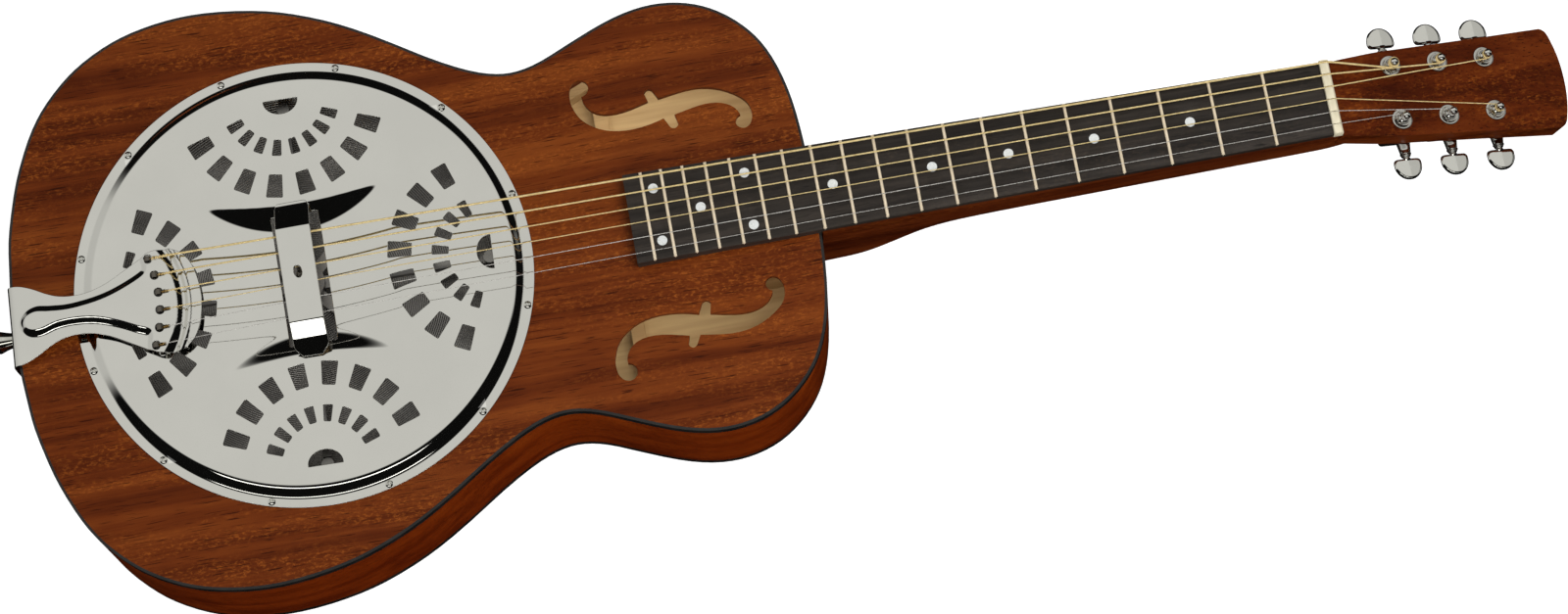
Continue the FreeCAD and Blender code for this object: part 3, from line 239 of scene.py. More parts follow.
# the back is stained outside and bare inside: the face above 3 mm is the inner one
m = wood("back_wood", (0.070, 0.0080, 0.0007), (0.135, 0.0180, 0.0014), (0.200, 0.0340, 0.0030), bands=40.0, fleck=0.25, rough=0.34, spec=0.07, seed=5.5, streak=0.55)
outer_col = m.b.inputs["Base Color"].links[0].from_socket
zz = m.sep()[2]
inside = m.rng(zz, 0.0030, 0.0033)
ply = m.noise(m.vec((8.0, 120.0, 120.0)), 1.0, 3.0, 0.6)
m.color(m.mix(inside, outer_col, m.ramp(ply, [(0.3, (0.40, 0.25, 0.105)), (0.7, (0.60, 0.41, 0.19))])))
M["back"] = m

m = Mat("binding_black")
n = m.noise(m.vec((60, 60, 60)), 1.0, 3.0, 0.6)
m.color(m.mix(m.rng(n, 0.3, 0.7), (0.006, 0.006, 0.006), (0.013, 0.012, 0.011)))
m.rough(m.rng(n, 0.3, 0.7, 0.22, 0.34))
m.set(Specular_IOR_Level=0.35)
M["binding"] = m

CHROME = (0.800, 0.795, 0.760)
M["chrome"] = metal("chrome_plate", CHROME, 0.045, 0.0, 0.012)
M["chrome_small"] = metal("chrome_small_parts", (0.82, 0.815, 0.775), 0.06, 0.01, 0.02)
M["washer"] = metal("washer_chrome", (0.60, 0.585, 0.545), 0.13, 0.04, 0.05)
M["steel"] = metal("bright_steel", (0.50, 0.49, 0.47), 0.24, 0.06, 0.05)
M["brass"] = metal("brass_parts", (0.62, 0.40, 0.13), 0.26, 0.08, 0.06)
# ball ends darkened well below steel or brass: painted shade and painted dark reflection for the balls down in the
# tailpiece's key holes; the screw under the hand rest uses this material too
M["ball"] = metal("ball_ends_dark_painted_shade", (0.16, 0.145, 0.125), 0.22, 0.10, 0.05)
M["cast"] = metal("cast_aluminium", (0.30, 0.29, 0.275), 0.36, 0.08, 0.10, 2500.0)

# spun cone: fine turned rings about the plate's centre
m = Mat("spun_aluminium_rings")
x, y, z = m.sep()[:3]
rad = m.math("SQRT", m.math("ADD", m.math("MULTIPLY", x, x), m.math("MULTIPLY", y, y)))
ring = m.math("SINE", m.math("MULTIPLY", rad, 2 * math.pi / 0.00135))
n1 = m.noise(m.vec((30, 30, 30)), 1.0, 3.0, 0.6)
m.color(m.mix(m.rng(n1, 0.3, 0.7), (0.33, 0.32, 0.30), (0.50, 0.48, 0.45)))
m.set(Metallic=1.0)
m.rough(m.rng(n1, 0.3, 0.7, 0.20, 0.32))
m.normal(m.bump(ring, 0.75, 0.00022))
M["cone"] = m

m = Mat("fret_metal")
n = m.noise(m.vec((300, 40, 300)), 1.0, 3.0, 0.6)
m.color(m.mix(m.rng(n, 0.3, 0.7), (0.60, 0.50, 0.35), (0.72, 0.61, 0.45)))
m.set(Metallic=0.35, Specular_IOR_Level=0.5)
m.rough(m.rng(n, 0.3, 0.7, 0.24, 0.38))
M["fret"] = m

m = Mat("pearl_dot")
n = m.noise(m.vec((420, 420, 420)), 1.0, 3.0, 0.6, 0.8)
m.color(m.ramp(n, [(0.3, (0.40, 0.42, 0.40)), (0.5, (0.52, 0.53, 0.51)), (0.7, (0.45, 0.47, 0.48))]))
m.rough(m.rng(n, 0.3, 0.7, 0.22, 0.34))
m.set(Specular_IOR_Level=0.5)
M["dot"] = m

m = Mat("nut_cream")
n = m.noise(m.vec((220, 60, 220)), 1.0, 3.0, 0.6)
m.color(m.ramp(n, [(0.3, (0.47, 0.42, 0.29)), (0.7, (0.55, 0.50, 0.37))]))
m.rough(m.rng(n, 0.3, 0.7, 0.38, 0.52))
m.set(Specular_IOR_Level=0.4)
M["nut"] = m


def string_mat(name, a, b, rough, pitch):
    m = Mat(name)
    x = m.sep()[0]
    w = m.math("SINE", m.math("MULTIPLY", x, 2 * math.pi / pitch))
    n = m.noise(m.vec((400, 400, 400)), 1.0, 2.0, 0.5)
    m.color(m.mix(m.rng(n, 0.3, 0.7), a, b))
    m.set(Metallic=0.5, Specular_IOR_Level=0.5)
    m.rough(m.rng(n, 0.3, 0.7, rough, rough + 0.1))
    m.normal(m.bump(w, 0.5, 0.00006))
    return m


M["bronze"] = string_mat("bronze_wound_string", (0.66, 0.50, 0.22), (0.80, 0.64, 0.32), 0.32, 0.00042)
M["plain"] = string_mat("plain_steel_string", (0.52, 0.50, 0.46), (0.62, 0.60, 0.56), 0.24, 0.0031)


# ------------------------------------------------------------------ mesh helpers (mm in, metres out)
def piece(name, verts, faces, mat, body="root", replaces=(), slot=None, angle=35.0, normals=None):
    me = bpy.data.meshes.new(name)
    me.from_pydata([tuple(v) for v in (np.asarray(verts, float) * MM)], [], [tuple(int(i) for i in f) for f in faces])
    me.validate(clean_customdata=False)
    me.polygons.foreach_set("use_smooth", [True] * len(me.polygons))
    if normals is None:
        me.set_sharp_from_angle(angle=math.radians(angle))
    me.materials.append(mat.m)
    me.update()
    if normals is not None:
        me.normals_split_custom_set_from_vertices([tuple(v) for v in normals])
    ob = bpy.data.objects.new(name, me)
    scene.collection.objects.link(ob)
    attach(ob, body)
    if replaces:
        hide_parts(*replaces)
    return ob


class Mesh:
    """Verts and faces gathered from several solids."""

    def __init__(self):
        self.v, self.f, self.n = [], [], 0

    def add(self, verts, faces):
        verts = np.asarray(verts, float)
        self.v.append(verts)
        self.f += [tuple(i + self.n for i in f) for f in faces]
        self.n += len(verts)

    def verts(self):
        return np.vstack(self.v)


def lathe(profile, seg=32, closed=False):
    """Turned solid about local Z. profile is (radius, z) from one pole to the other."""
    verts, faces, rows = [], [], []
    for r, z in profile:
        if r < 1e-6:
            rows.append([len(verts)])
            verts.append((0, 0, z))
        else:
            rows.append(list(range(len(verts), len(verts) + seg)))
            for k in range(seg):
                a = 2 * math.pi * k / seg
                verts.append((r * math.cos(a), r * math.sin(a), z))
    pairs = list(zip(rows, rows[1:])) + ([(rows[-1], rows[0])] if closed else [])
    for a, b in pairs:
        for k in range(seg):
            k2 = (k + 1) % seg
            if len(a) == 1 and len(b) == 1:
                continue
            if len(a) == 1:
                faces.append((a[0], b[k], b[k2]))
            elif len(b) == 1:
                faces.append((a[k], b[0], a[k2]))
            else:
                faces.append((a[k], b[k], b[k2], a[k2]))
    return np.array(verts), faces


def tube(path, radius, sides=10, caps=True):
    """Round tube along a path; radius is one number or one per point. Frames are carried along, so it doesn't twist."""
    path = np.asarray(path, float)
    n = len(path)
    rr = np.full(n, radius) if np.isscalar(radius) else np.asarray(radius, float)
    tan = np.gradient(path, axis=0)
    tan /= np.linalg.norm(tan, axis=1)[:, None]
    ref = np.array([0, 0, 1.0]) if abs(tan[0][2]) < 0.9 else np.array([1.0, 0, 0])
    u = np.cross(ref, tan[0])
    u /= np.linalg.norm(u)
    verts, faces = [], []
    for i in range(n):
        u = u - tan[i] * (u @ tan[i])
        u /= np.linalg.norm(u)
        w = np.cross(tan[i], u)
        for k in range(sides):
            a = 2 * math.pi * k / sides
            verts.append(path[i] + rr[i] * (math.cos(a) * u + math.sin(a) * w))
    for i in range(n - 1):
        for k in range(sides):
            k2 = (k + 1) % sides
            faces.append((i * sides + k, i * sides + k2, (i + 1) * sides + k2, (i + 1) * sides + k))
    if caps:
        faces.append(tuple(range(sides))[::-1])
        faces.append(tuple(range((n - 1) * sides, n * sides)))
    return np.array(verts), faces


def smooth_loop(points, per=8, closed=True):
    """Catmull-Rom through the points."""
    p = np.asarray(points, float)
    n = len(p)
    out = []
    rng = range(n) if closed else range(n - 1)
    for i in rng:
        if closed:
            p0, p1, p2, p3 = p[(i - 1) % n], p[i], p[(i + 1) % n], p[(i + 2) % n]
        else:
            p0, p1, p2, p3 = p[max(i - 1, 0)], p[i], p[i + 1], p[min(i + 2, n - 1)]
        for k in range(per):
            t = k / per
            out.append(0.5 * ((2 * p1) + (-p0 + p2) * t + (2 * p0 - 5 * p1 + 4 * p2 - p3) * t * t + (-p0 + 3 * p1 - 3 * p2 + p3) * t ** 3))
    if not closed:
        out.append(p[-1])
    return np.array(out)


def resample(loop, step, closed=True):
    loop = np.asarray(loop, float)
    pts = np.vstack([loop, loop[:1]]) if closed else loop
    seg = np.linalg.norm(np.diff(pts, axis=0), axis=1)
    s = np.concatenate([[0], np.cumsum(seg)])
    n = max(8, int(round(s[-1] / step)))
    t = np.linspace(0, s[-1], n + 1)
    if closed:
        t = t[:-1]
    return np.column_stack([np.interp(t, s, pts[:, k]) for k in range(pts.shape[1])])


def rounded(poly, radius, step):
    """Polygon with its corners rounded, as points about step apart."""
    p = [np.array(q, float) for q in poly]
    n = len(p)
    out = []
    for i in range(n):
        a, b, c = p[i - 1], p[i], p[(i + 1) % n]
        u, w = (a - b) / np.linalg.norm(a - b), (c - b) / np.linalg.norm(c - b)
        ang = math.acos(max(-1, min(1, float(u @ w))))
        if ang > math.pi - 0.12:
            out.append(b)
            continue
        reach = min(radius / math.tan(ang / 2), 0.45 * np.linalg.norm(a - b), 0.45 * np.linalg.norm(c - b))
        s, e = b + u * reach, b + w * reach
        for t in np.linspace(0, 1, 6):
            out.append((1 - t) ** 2 * s + 2 * t * (1 - t) * b + t * t * e)
    out = np.array(out)
    # long straight stretches get points too
    full = []
    for i in range(len(out)):
        a, b = out[i], out[(i + 1) % len(out)]
        full.append(a)
        k = int(np.linalg.norm(b - a) / step)
        for j in range(1, k + 1):
            full.append(a + (b - a) * j / (k + 1))
    return np.array(full)


def area2(loop):
    x, y = loop[:, 0], loop[:, 1]
    return float(np.sum(x * np.roll(y, -1) - np.roll(x, -1) * y))


def inset_loop(loop, d, hole):
    """Moves a loop into the material by d."""
    ccw = area2(loop) > 0
    t = np.roll(loop, -1, 0) - np.roll(loop, 1, 0)
    t /= np.linalg.norm(t, axis=1)[:, None] + 1e-12
    n = np.column_stack([t[:, 1], -t[:, 0]])          # outward for a ccw loop
    if not ccw:
        n = -n
    return loop + (n if hole else -n) * d


def inside(points, loop):
    x, y = points[:, 0], points[:, 1]
    lx, ly = loop[:, 0], loop[:, 1]
    res = np.zeros(len(points), bool)
    sel = np.where((x > lx.min()) & (x < lx.max()) & (y > ly.min()) & (y < ly.max()))[0]
    if not len(sel):
        return res
    px, py = x[sel], y[sel]
    c = np.zeros(len(sel), bool)
    for i in range(len(loop)):
        x0, y0, x1, y1 = lx[i - 1], ly[i - 1], lx[i], ly[i]
        if y0 == y1:
            continue
        hit = ((y0 > py) != (y1 > py)) & (px < (x1 - x0) * (py - y0) / (y1 - y0) + x0)
        c ^= hit
    res[sel] = c
    return res


def plan_mesh(outer, holes, offsets, grid, clear):
    """Triangulates a plan with holes. offsets are distances in from each edge that get their own ring of points."""
    loops = [(outer, False)] + [(h, True) for h in holes]
    verts, edges, tag, edge_loop = [], [], [], []
    for li, (loop, hole) in enumerate(loops):
        for ri, d in enumerate(offsets):
            ring = loop if d == 0 else inset_loop(loop, d, hole)
            start = len(verts)
            for k in range(len(ring)):
                verts.append(ring[k])
                tag.append((li, ri, k))
                edges.append((start + k, start + (k + 1) % len(ring)))
    ringpts = np.array(verts)
    g = np.asarray(grid, float)
    keep = inside(g, outer)
    for h in holes:
        keep &= ~inside(g, h)
    g = g[keep]
    # drop grid points that are too near a ring
    cell = clear
    keyset = set()
    q = np.floor(ringpts / cell).astype(int)
    for a, b in q:
        for i in (-1, 0, 1):
            for j in (-1, 0, 1):
                keyset.add((a + i, b + j))
    gq = np.floor(g / cell).astype(int)
    g = g[[(a, b) not in keyset for a, b in gq]]
    allv = np.vstack([ringpts, g])
    out = delaunay_2d_cdt([Vector(v) for v in allv], edges, [], 0, 1e-7, True)
    vv = np.array([tuple(v) for v in out[0]])
    src = [o[0] if len(o) else -1 for o in out[3]]
    ring_of = {}
    info = []
    for i, s in enumerate(src):
        info.append(tag[s] if 0 <= s < len(tag) else (-1, -1, -1))
    faces = []
    for f in out[2]:
        f = tuple(f)
        t = [info[i] for i in f]
        if t[0][1] == 0 and t[1][1] == 0 and t[2][1] == 0 and t[0][0] == t[1][0] == t[2][0]:
            continue
        a, b, c = vv[f[0]], vv[f[1]], vv[f[2]]
        if (b[0] - a[0]) * (c[1] - a[1]) - (b[1] - a[1]) * (c[0] - a[0]) < 0:
            f = f[::-1]
        faces.append(f)
    return vv, faces, info, [l for l, _ in loops]


def sheet_piece(name, outer, holes, surf, thick, grid, coarse, mat, roll=0.45, clear=0.6, **kw):
    """Formed sheet metal. surf(uv) gives points and unit normals of the upper face, in mm. Every edge is rolled over."""
    ts = [math.pi / 2, math.radians(58), math.radians(28), 0.0]
    offs = [roll * (1 - math.sin(t)) for t in ts]
    drops = [roll * (1 - math.cos(t)) for t in ts]
    vv, ff, info, loops = plan_mesh(outer, holes, offs, grid, clear)
    pos, nor = surf(vv)
    N = nor.copy()
    eps = 0.02
    edge_of = {}
    out2 = []
    for loop, li in zip(loops, range(len(loops))):
        t = np.roll(loop, -1, 0) - np.roll(loop, 1, 0)
        t /= np.linalg.norm(t, axis=1)[:, None] + 1e-12
        n2 = np.column_stack([t[:, 1], -t[:, 0]])
        if (area2(loop) < 0) != (li > 0):
            n2 = -n2                       # out of the material
        out2.append(n2)
    ids = [i for i, q in enumerate(info) if q[0] >= 0]
    shift = np.array([out2[info[i][0]][info[i][2]] for i in ids])
    p2 = surf(vv[ids] + shift * eps)[0]
    for j, i in enumerate(ids):
        li, ri, k = info[i]
        d3 = p2[j] - pos[i]
        d3 -= nor[i] * (d3 @ nor[i])
        d3 /= np.linalg.norm(d3) + 1e-12
        pos[i] = pos[i] - nor[i] * drops[ri]
        N[i] = math.cos(ts[ri]) * nor[i] + math.sin(ts[ri]) * d3
        if ri == 0:
            edge_of[(li, k)] = (i, d3)
    # the lower face
    bv, bf, binfo, _ = plan_mesh(outer, holes, [0.0, roll], coarse, clear)
    bp, bn = surf(bv)
    bp = bp - bn * thick
    off = len(pos)
    allp = [pos, bp]
    alln = [N, -bn]
    faces = list(ff) + [tuple(i + off for i in f[::-1]) for f in bf]
    low_of = {(li, k): i + off for i, (li, ri, k) in enumerate(binfo) if ri == 0}
    # walls, with their own points so that their normals stay square to the face
    count = off + len(bp)
    wp, wn = [], []
    for li, loop in enumerate(loops):
        n = len(loop)
        ccw = area2(loop) > 0
        rim_ids = []
        for k in range(n):
            if (li, k) not in edge_of or (li, k) not in low_of:
                rim_ids.append(None)
                continue
            i, d3 = edge_of[(li, k)]
            lo = bp[low_of[(li, k)] - off]
            wp.append(lo)
            wn.append(d3)
            rim_ids.append((i, count + len(wp) - 1, low_of[(li, k)]))
        for k in range(n):
            a, b = rim_ids[k], rim_ids[(k + 1) % n]
            if a is None or b is None:
                continue
            quad = (a[0], a[1], b[1], b[0])
            if (ccw and li > 0) or (not ccw and li == 0):
                quad = quad[::-1]
            faces.append(quad)
    allp.append(np.array(wp))
    alln.append(np.array(wn))
    return piece(name, np.vstack(allp), faces, mat, normals=np.vstack(alln), **kw)


def hexgrid(x0, x1, y0, y1, step):
    pts = []
    j = 0
    y = y0
    while y <= y1:
        xs = np.arange(x0 + (step / 2 if j % 2 else 0), x1, step)
        pts.append(np.column_stack([xs, np.full(len(xs), y)]))
        y += step * 0.8660254
        j += 1
    return np.vstack(pts)


def numeric_surface(height):
    """Surface z = height(x, y) + TOP with normals from its slope."""
    def surf(uv):
        x, y = uv[:, 0], uv[:, 1]
        e = 0.05
        h = height(x, y)
        gx = (height(x + e, y) - height(x - e, y)) / (2 * e)
        gy = (height(x, y + e) - height(x, y - e)) / (2 * e)
        n = np.column_stack([-gx, -gy, np.ones_like(gx)])
        n /= np.linalg.norm(n, axis=1)[:, None]
        return np.column_stack([x, y, h + TOP]), n
    return surf


# ------------------------------------------------------------------ cover plate
PT = math.radians(-1.5)
rr = np.arange(0, 150, 0.05)
prof = 10.2 - 5.2 * (rr / 134.0) ** 2
corner = [(131.2, 10.2 - 5.2 * (131.2 / 134.0) ** 2), (132.3, 5.02), (133.3, 4.62), (134.3, 3.94), (137.3, 1.76), (138.2, 1.20), (139.0, 0.99), (140.0, 0.95), (150, 0.95)]
prof = np.where(rr > 131.2, np.interp(rr, [c[0] for c in corner], [c[1] for c in corner]), prof)
ker = np.hanning(27)
ker /= ker.sum()
padded = np.concatenate([np.full(13, prof[0]), prof, np.full(13, prof[-1])])
prof = np.convolve(padded, ker, "valid")
prof[:2400] = (10.2 - 5.2 * (rr / 134.0) ** 2)[:2400]


def dome(r):
    return np.interp(r, rr, prof)


def plate_height(x, y):
    c, s = math.cos(-PT), math.sin(-PT)
    lx, ly = x * c - y * s, x * s + y * c
    r = np.hypot(x, y)
    d = dome(r)
    # a shallow trough across the middle, reached down an even slope on two arcs
    floor_ = 3.5 + 0.00148 * lx ** 2
    rho = np.minimum(np.hypot(lx, ly - 118.0), np.hypot(lx, ly + 118.0))
    t = 84.6 - rho
    ramp_ = 0.385 * 0.5 * (t + np.sqrt(t * t + 2.2 ** 2))
    low = floor_ + ramp_
    return 0.5 * (d + low - np.sqrt((d - low) ** 2 + 0.45 ** 2)) + 0.003


def turn(points, a):
    p = np.asarray(points, float)
    c, s = math.cos(a), math.sin(a)
    return np.column_stack([p[:, 0] * c - p[:, 1] * s, p[:, 0] * s + p[:, 1] * c])


holes = []
for fan in range(4):
    a0 = math.pi / 2 * fan + PT
    for k in range(8):
        mid = math.radians(18.8) * (k - 3.5)
        for rad_, half in ((32.5, 5.2), (58.0, 7.5)):
            quad = []
            for r_, sg in ((rad_ - half, 1), (rad_ + half, -1)):
                for j in (0, 1):
                    a = mid + math.radians(9.2) * (j - 0.5) * sg
                    quad.append((119.7 - r_ * math.cos(a), r_ * math.sin(a)))
            holes.append(turn(rounded(quad, 0.9, 1.4), a0))
    moon = [(119.7 - 9.6 * math.cos(math.radians(v)), 11.0 * math.sin(math.radians(v))) for v in range(-90, 91, 10)]
    holes.append(turn(rounded(moon, 0.35, 1.4), a0))
holes.append(rounded([(-14, -42), (16, -42), (16, 43), (-14, 43)], 1.5, 1.5))
screw_at = [(141.5 * math.cos(math.radians(15 + 30 * k) + PT), 141.5 * math.sin(math.radians(15 + 30 * k) + PT)) for k in range(12)]
for sx, sy in screw_at:
    holes.append(np.array([(sx + 1.5 * math.cos(2 * math.pi * k / 14), sy + 1.5 * math.sin(2 * math.pi * k / 14)) for k in range(14)]))
rim = np.array([(144.55 * math.cos(2 * math.pi * k / 640), 144.55 * math.sin(2 * math.pi * k / 640)) for k in range(640)])
fine_grid = hexgrid(-75, 75, -66, 66, 1.25)
far_grid = hexgrid(-133, 133, -133, 133, 2.3)
far_grid = far_grid[(np.hypot(far_grid[:, 0], far_grid[:, 1]) < 130.2) & ((np.abs(far_grid[:, 0]) > 74.5) | (np.abs(far_grid[:, 1]) > 65.5))]
rings = []
for r_ in (131.0, 131.7, 132.3, 132.9, 133.4, 133.9, 134.4, 134.9, 135.4, 135.9, 136.4, 136.9, 137.4, 137.9, 138.4, 138.9, 139.6):
    a = np.arange(560) * 2 * math.pi / 560 + (0.0056 if int(r_ * 10) % 2 else 0)
    rings.append(np.column_stack([r_ * np.cos(a), r_ * np.sin(a)]))
grid = np.vstack([fine_grid, far_grid] + rings)
coarse = hexgrid(-142, 142, -142, 142, 4.5)
coarse = coarse[np.hypot(coarse[:, 0], coarse[:, 1]) < 129]
rings2 = []
for r_ in (130.5, 132.6, 134.4, 136.4, 138.2):
    a = np.arange(300) * 2 * math.pi / 300
    rings2.append(np.column_stack([r_ * np.cos(a), r_ * np.sin(a)]))
coarse = np.vstack([coarse] + rings2)
plate = sheet_piece("cover_plate_formed", rim, holes, numeric_surface(plate_height), 0.9, grid, coarse, M["chrome"], roll=0.32, clear=0.42, replaces=("cover_plate",), slot="chrome")


# cross-head screws round the rim
def screw_head(radius, rise, recess, turn_by):
    ms = Mesh()
    n, rows = 40, []
    rings_ = [0, 0.12, 0.25, 0.38, 0.5, 0.6, 0.7, 0.8, 0.9, 0.97, 1.0]
    verts = []
    for q in rings_:
        for k in range(n if q > 0 else 1):
            a = 2 * math.pi * k / n
            x, y = q * radius * math.cos(a), q * radius * math.sin(a)
            z = rise * (1 - q ** 2.4)
            u, v = x * math.cos(turn_by) + y * math.sin(turn_by), -x * math.sin(turn_by) + y * math.cos(turn_by)
            arm = min(abs(u), abs(v))
            ln = max(abs(u), abs(v))
            if arm < 0.42 and ln < radius * 0.60:
                z -= recess * min(1, (0.42 - arm) / 0.16) * min(1, (radius * 0.60 - ln) / 0.25)
            verts.append((x, y, z))
    faces = [(0, 1 + k, 1 + (k + 1) % n) for k in range(n)]
    for r_ in range(1, len(rings_) - 1):
        b0, b1 = 1 + (r_ - 1) * n, 1 + r_ * n
        for k in range(n):
            k2 = (k + 1) % n
            faces.append((b0 + k, b1 + k, b1 + k2, b0 + k2))
    base = len(verts)
    for z in (-0.75, ):
        for k in range(n):
            a = 2 * math.pi * k / n
            verts.append((radius * math.cos(a), radius * math.sin(a), z))
    b0 = 1 + (len(rings_) - 2) * n
    for k in range(n):
        k2 = (k + 1) % n
        faces.append((b0 + k, base + k, base + k2, b0 + k2))
    faces.append(tuple(base + k for k in range(n))[::-1])
    return np.array(verts), faces


ms = Mesh()
for i, (sx, sy) in enumerate(screw_at):
    v, f = screw_head(2.45, 0.95, 0.75, 0.7 + 1.1 * i)
    ms.add(v + np.array([sx, sy, TOP + 1.05]), f)
piece("cover_screws_cross_head", ms.verts(), ms.f, M["chrome_small"], replaces=("cover_screws",), slot="chrome", angle=40)


# ------------------------------------------------------------------ hand rest
rest_y = np.arange(-56, 56, 0.05)
rest_z = np.interp(rest_y, [-56, -51.0, -41.6, -31.2, 29.6, 47.9, 56], [11.75, 11.75, 19.95, 25.05, 25.05, 11.75, 11.75])
kr = np.hanning(43)
kr /= kr.sum()
rest_z = np.convolve(np.concatenate([np.full(21, rest_z[0]), rest_z, np.full(21, rest_z[-1])]), kr, "valid")


def rest_height(x, y):
    crown = -0.16 * ((x - 0.5) / 11.0) ** 2
    return np.interp(y, rest_y, rest_z) + crown


rest_outline = rounded([(-10.4, -46.5), (-6.3, -51.0), (6.2, -51.2), (11.3, -46.5), (11.4, 46.5), (9.8, 50.0), (-9.0, 50.0), (-10.4, 46.5)], 2.2, 1.0)
oval = np.array([(0.05 * math.sin(a) - 0.2 + (0.35 if math.sin(a) > 0 else -0.35) * abs(math.sin(a)) * -1 + 2.55 * math.cos(a), 0.35 + 3.85 * math.sin(a)) for a in [2 * math.pi * k / 36 for k in range(36)]])
gr = hexgrid(-11, 12, -52, 51, 0.9)
co = hexgrid(-11, 12, -52, 51, 2.0)
sheet_piece("hand_rest_formed", rest_outline, [oval], numeric_surface(rest_height), 1.35, gr, co, M["chrome"], roll=0.55, clear=0.45, replaces=("hand_rest",), slot="chrome")

# the screw seen through the oval hole holds the rest to the spider
v, f = screw_head(2.1, 0.8, 0.5, 0.4)
piece("hand_rest_screw_head", v + np.array([0.1, -0.6, TOP + 21.6]), f, M["ball"], replaces=(), slot="steel", angle=40)


# ------------------------------------------------------------------ tailpiece
TAIL = [(-184.45, -38.0), (-184.45, -28.0), (-184.45, -18.0), (-184.45, -9.0), (-184.45, -5.0), (-184.43, -1.6), (-184.2, 0.9), (-183.3, 2.4), (-181.5, 3.3), (-178.0, 4.1), (-170.0, 5.7), (-160.0, 7.8), (-150.0, 9.9), (-140.0, 11.4), (-130.0, 12.5), (-110.0, 13.9), (-95.0, 14.5), (-80.0, 15.0), (-61.5, 15.3)]
tp = smooth_loop(TAIL, 14, closed=False)
tp = np.array(tp)
ts_ = np.concatenate([[0], np.cumsum(np.linalg.norm(np.diff(tp, axis=0), axis=1))])
tt = np.linspace(0, ts_[-1], 900)
tx, tz = np.interp(tt, ts_, tp[:, 0]), np.interp(tt, ts_, tp[:, 1])
k9 = np.hanning(31)
k9 /= k9.sum()


def soften(a):
    ext = np.concatenate([2 * a[0] - a[15:0:-1], a, 2 * a[-1] - a[-2:-17:-1]])
    return np.convolve(ext, k9, "valid")


tx, tz = soften(tx), soften(tz)
tdx, tdz = np.gradient(tx, tt), np.gradient(tz, tt)
tn = np.hypot(tdx, tdz)
tdx, tdz = tdx / tn, tdz / tn
TURN = math.radians(-2.4)


def u_of_x(x):
    i0 = int(np.argmin(tx + np.arange(len(tx)) * 0)) if False else int(len(tx) * 0.27)
    return np.interp(x, tx[i0:], tt[i0:])


U_TOP = float(u_of_x(-176.0))


def x_of_u(u):
    return np.interp(u, tt, tx)


# the raised tongue and head inside the flat flange, given in the guitar's plan (x, y)
tongue = [(-176.3, 4.6), (-173.0, 9.2), (-166.5, 11.0), (-158.0, 9.4), (-146.6, 7.9), (-133.0, 8.6), (-120.7, 10.8), (-109.0, 14.6), (-98.6, 19.3), (-95.6, 22.6), (-96.0, 28.5), (-97.5, 36.0), (-94, 50), (-40, 60),
          (-40, -60), (-97, -50), (-98.6, -36.0), (-98.6, -28.0), (-97.4, -21.0), (-98.8, -18.2), (-105.2, -15.2), (-116.0, -9.6), (-128.8, -4.6), (-142.0, -2.3), (-154.0, -2.3), (-164.0, -4.4), (-171.0, -3.9), (-175.3, -0.4)]
tongue = smooth_loop(tongue, 6)
cT, sT = math.cos(-TURN), math.sin(-TURN)
tl = np.column_stack([(tongue[:, 0] + 98) * cT - tongue[:, 1] * sT - 98, (tongue[:, 0] + 98) * sT + tongue[:, 1] * cT])   # in the unturned plan
tl_u = np.column_stack([np.where(tl[:, 0] < -61.6, u_of_x(np.minimum(tl[:, 0], -61.6)), tt[-1] + (tl[:, 0] + 61.6)), tl[:, 1]])


def signed_distance(uv, loop):
    """Positive inside the loop."""
    a = loop
    b = np.roll(loop, -1, 0)
    ab = b - a
    best = np.full(len(uv), 1e9)
    for i in range(len(a)):
        l2 = ab[i] @ ab[i]
        if l2 < 1e-12:
            continue
        ap = uv - a[i]
        t = np.clip((ap @ ab[i]) / l2, 0, 1)
        d = np.hypot(ap[:, 0] - t * ab[i][0], ap[:, 1] - t * ab[i][1])
        best = np.minimum(best, d)
    return np.where(inside(uv, loop), best, -best)


rho_t = np.array([0, 58.2, 59.0, 59.8, 63.0, 63.8, 64.5, 66.4, 67.0, 67.6, 68.8, 69.6, 70.6, 76.0])
rho_h = np.array([0, 0, -0.15, -0.60, -3.05, -3.30, -3.05, -1.40, -1.15, -1.30, -2.25, -2.40, -2.15, -2.35])
rs = np.arange(0, 80, 0.1)
rh = np.interp(rs, rho_t, rho_h)
k13 = np.hanning(13)
k13 /= k13.sum()
rh = np.convolve(np.concatenate([np.full(6, rh[0]), rh, np.full(6, rh[-1])]), k13, "valid")


def tail_relief(u, v):
    uv = np.column_stack([u, v])
    sd = signed_distance(uv, tl_u)
    t = np.clip((sd + 2.7) / 5.4, 0, 1)
    w = 0.5 - 0.5 * np.cos(math.pi * t)
    x = x_of_u(u)
    raise_ = 2.7 * w
    low = np.clip((x + 168.0) / 50.0, 0, 1)
    low = low * low * (3 - 2 * low)
    # towards the head the flange joins the raised part's level from below
    rho = np.hypot(x + 137.5, v)
    bars = np.interp(rho, rs, rh) * w * (x > -100)
    return raise_ - 0.45 - 1.45 * low + bars, w


def tail_point(u, v, h):
    x, z = np.interp(u, tt, tx), np.interp(u, tt, tz)
    dx, dz = np.interp(u, tt, tdx), np.interp(u, tt, tdz)
    n = np.hypot(dx, dz)
    dx, dz = dx / n, dz / n
    px, pz = x - dz * h, z + dx * h
    c, s = math.cos(TURN), math.sin(TURN)
    X = (px + 98) * c - v * s - 98
    Y = (px + 98) * s + v * c
    return np.column_stack([X, Y, pz + TOP])


def tail_surface(uv):
    u, v = uv[:, 0], uv[:, 1]
    e = 0.06

    def at(a, b):
        r_, _ = tail_relief(a, b)
        return tail_point(a, b, 1.6 + r_ * 1.0)
    p = at(u, v)
    pu = at(u + e, v) - at(u - e, v)
    pv = at(u, v + e) - at(u, v - e)
    n = np.cross(pu, pv)
    n /= np.linalg.norm(n, axis=1)[:, None]
    return p, n


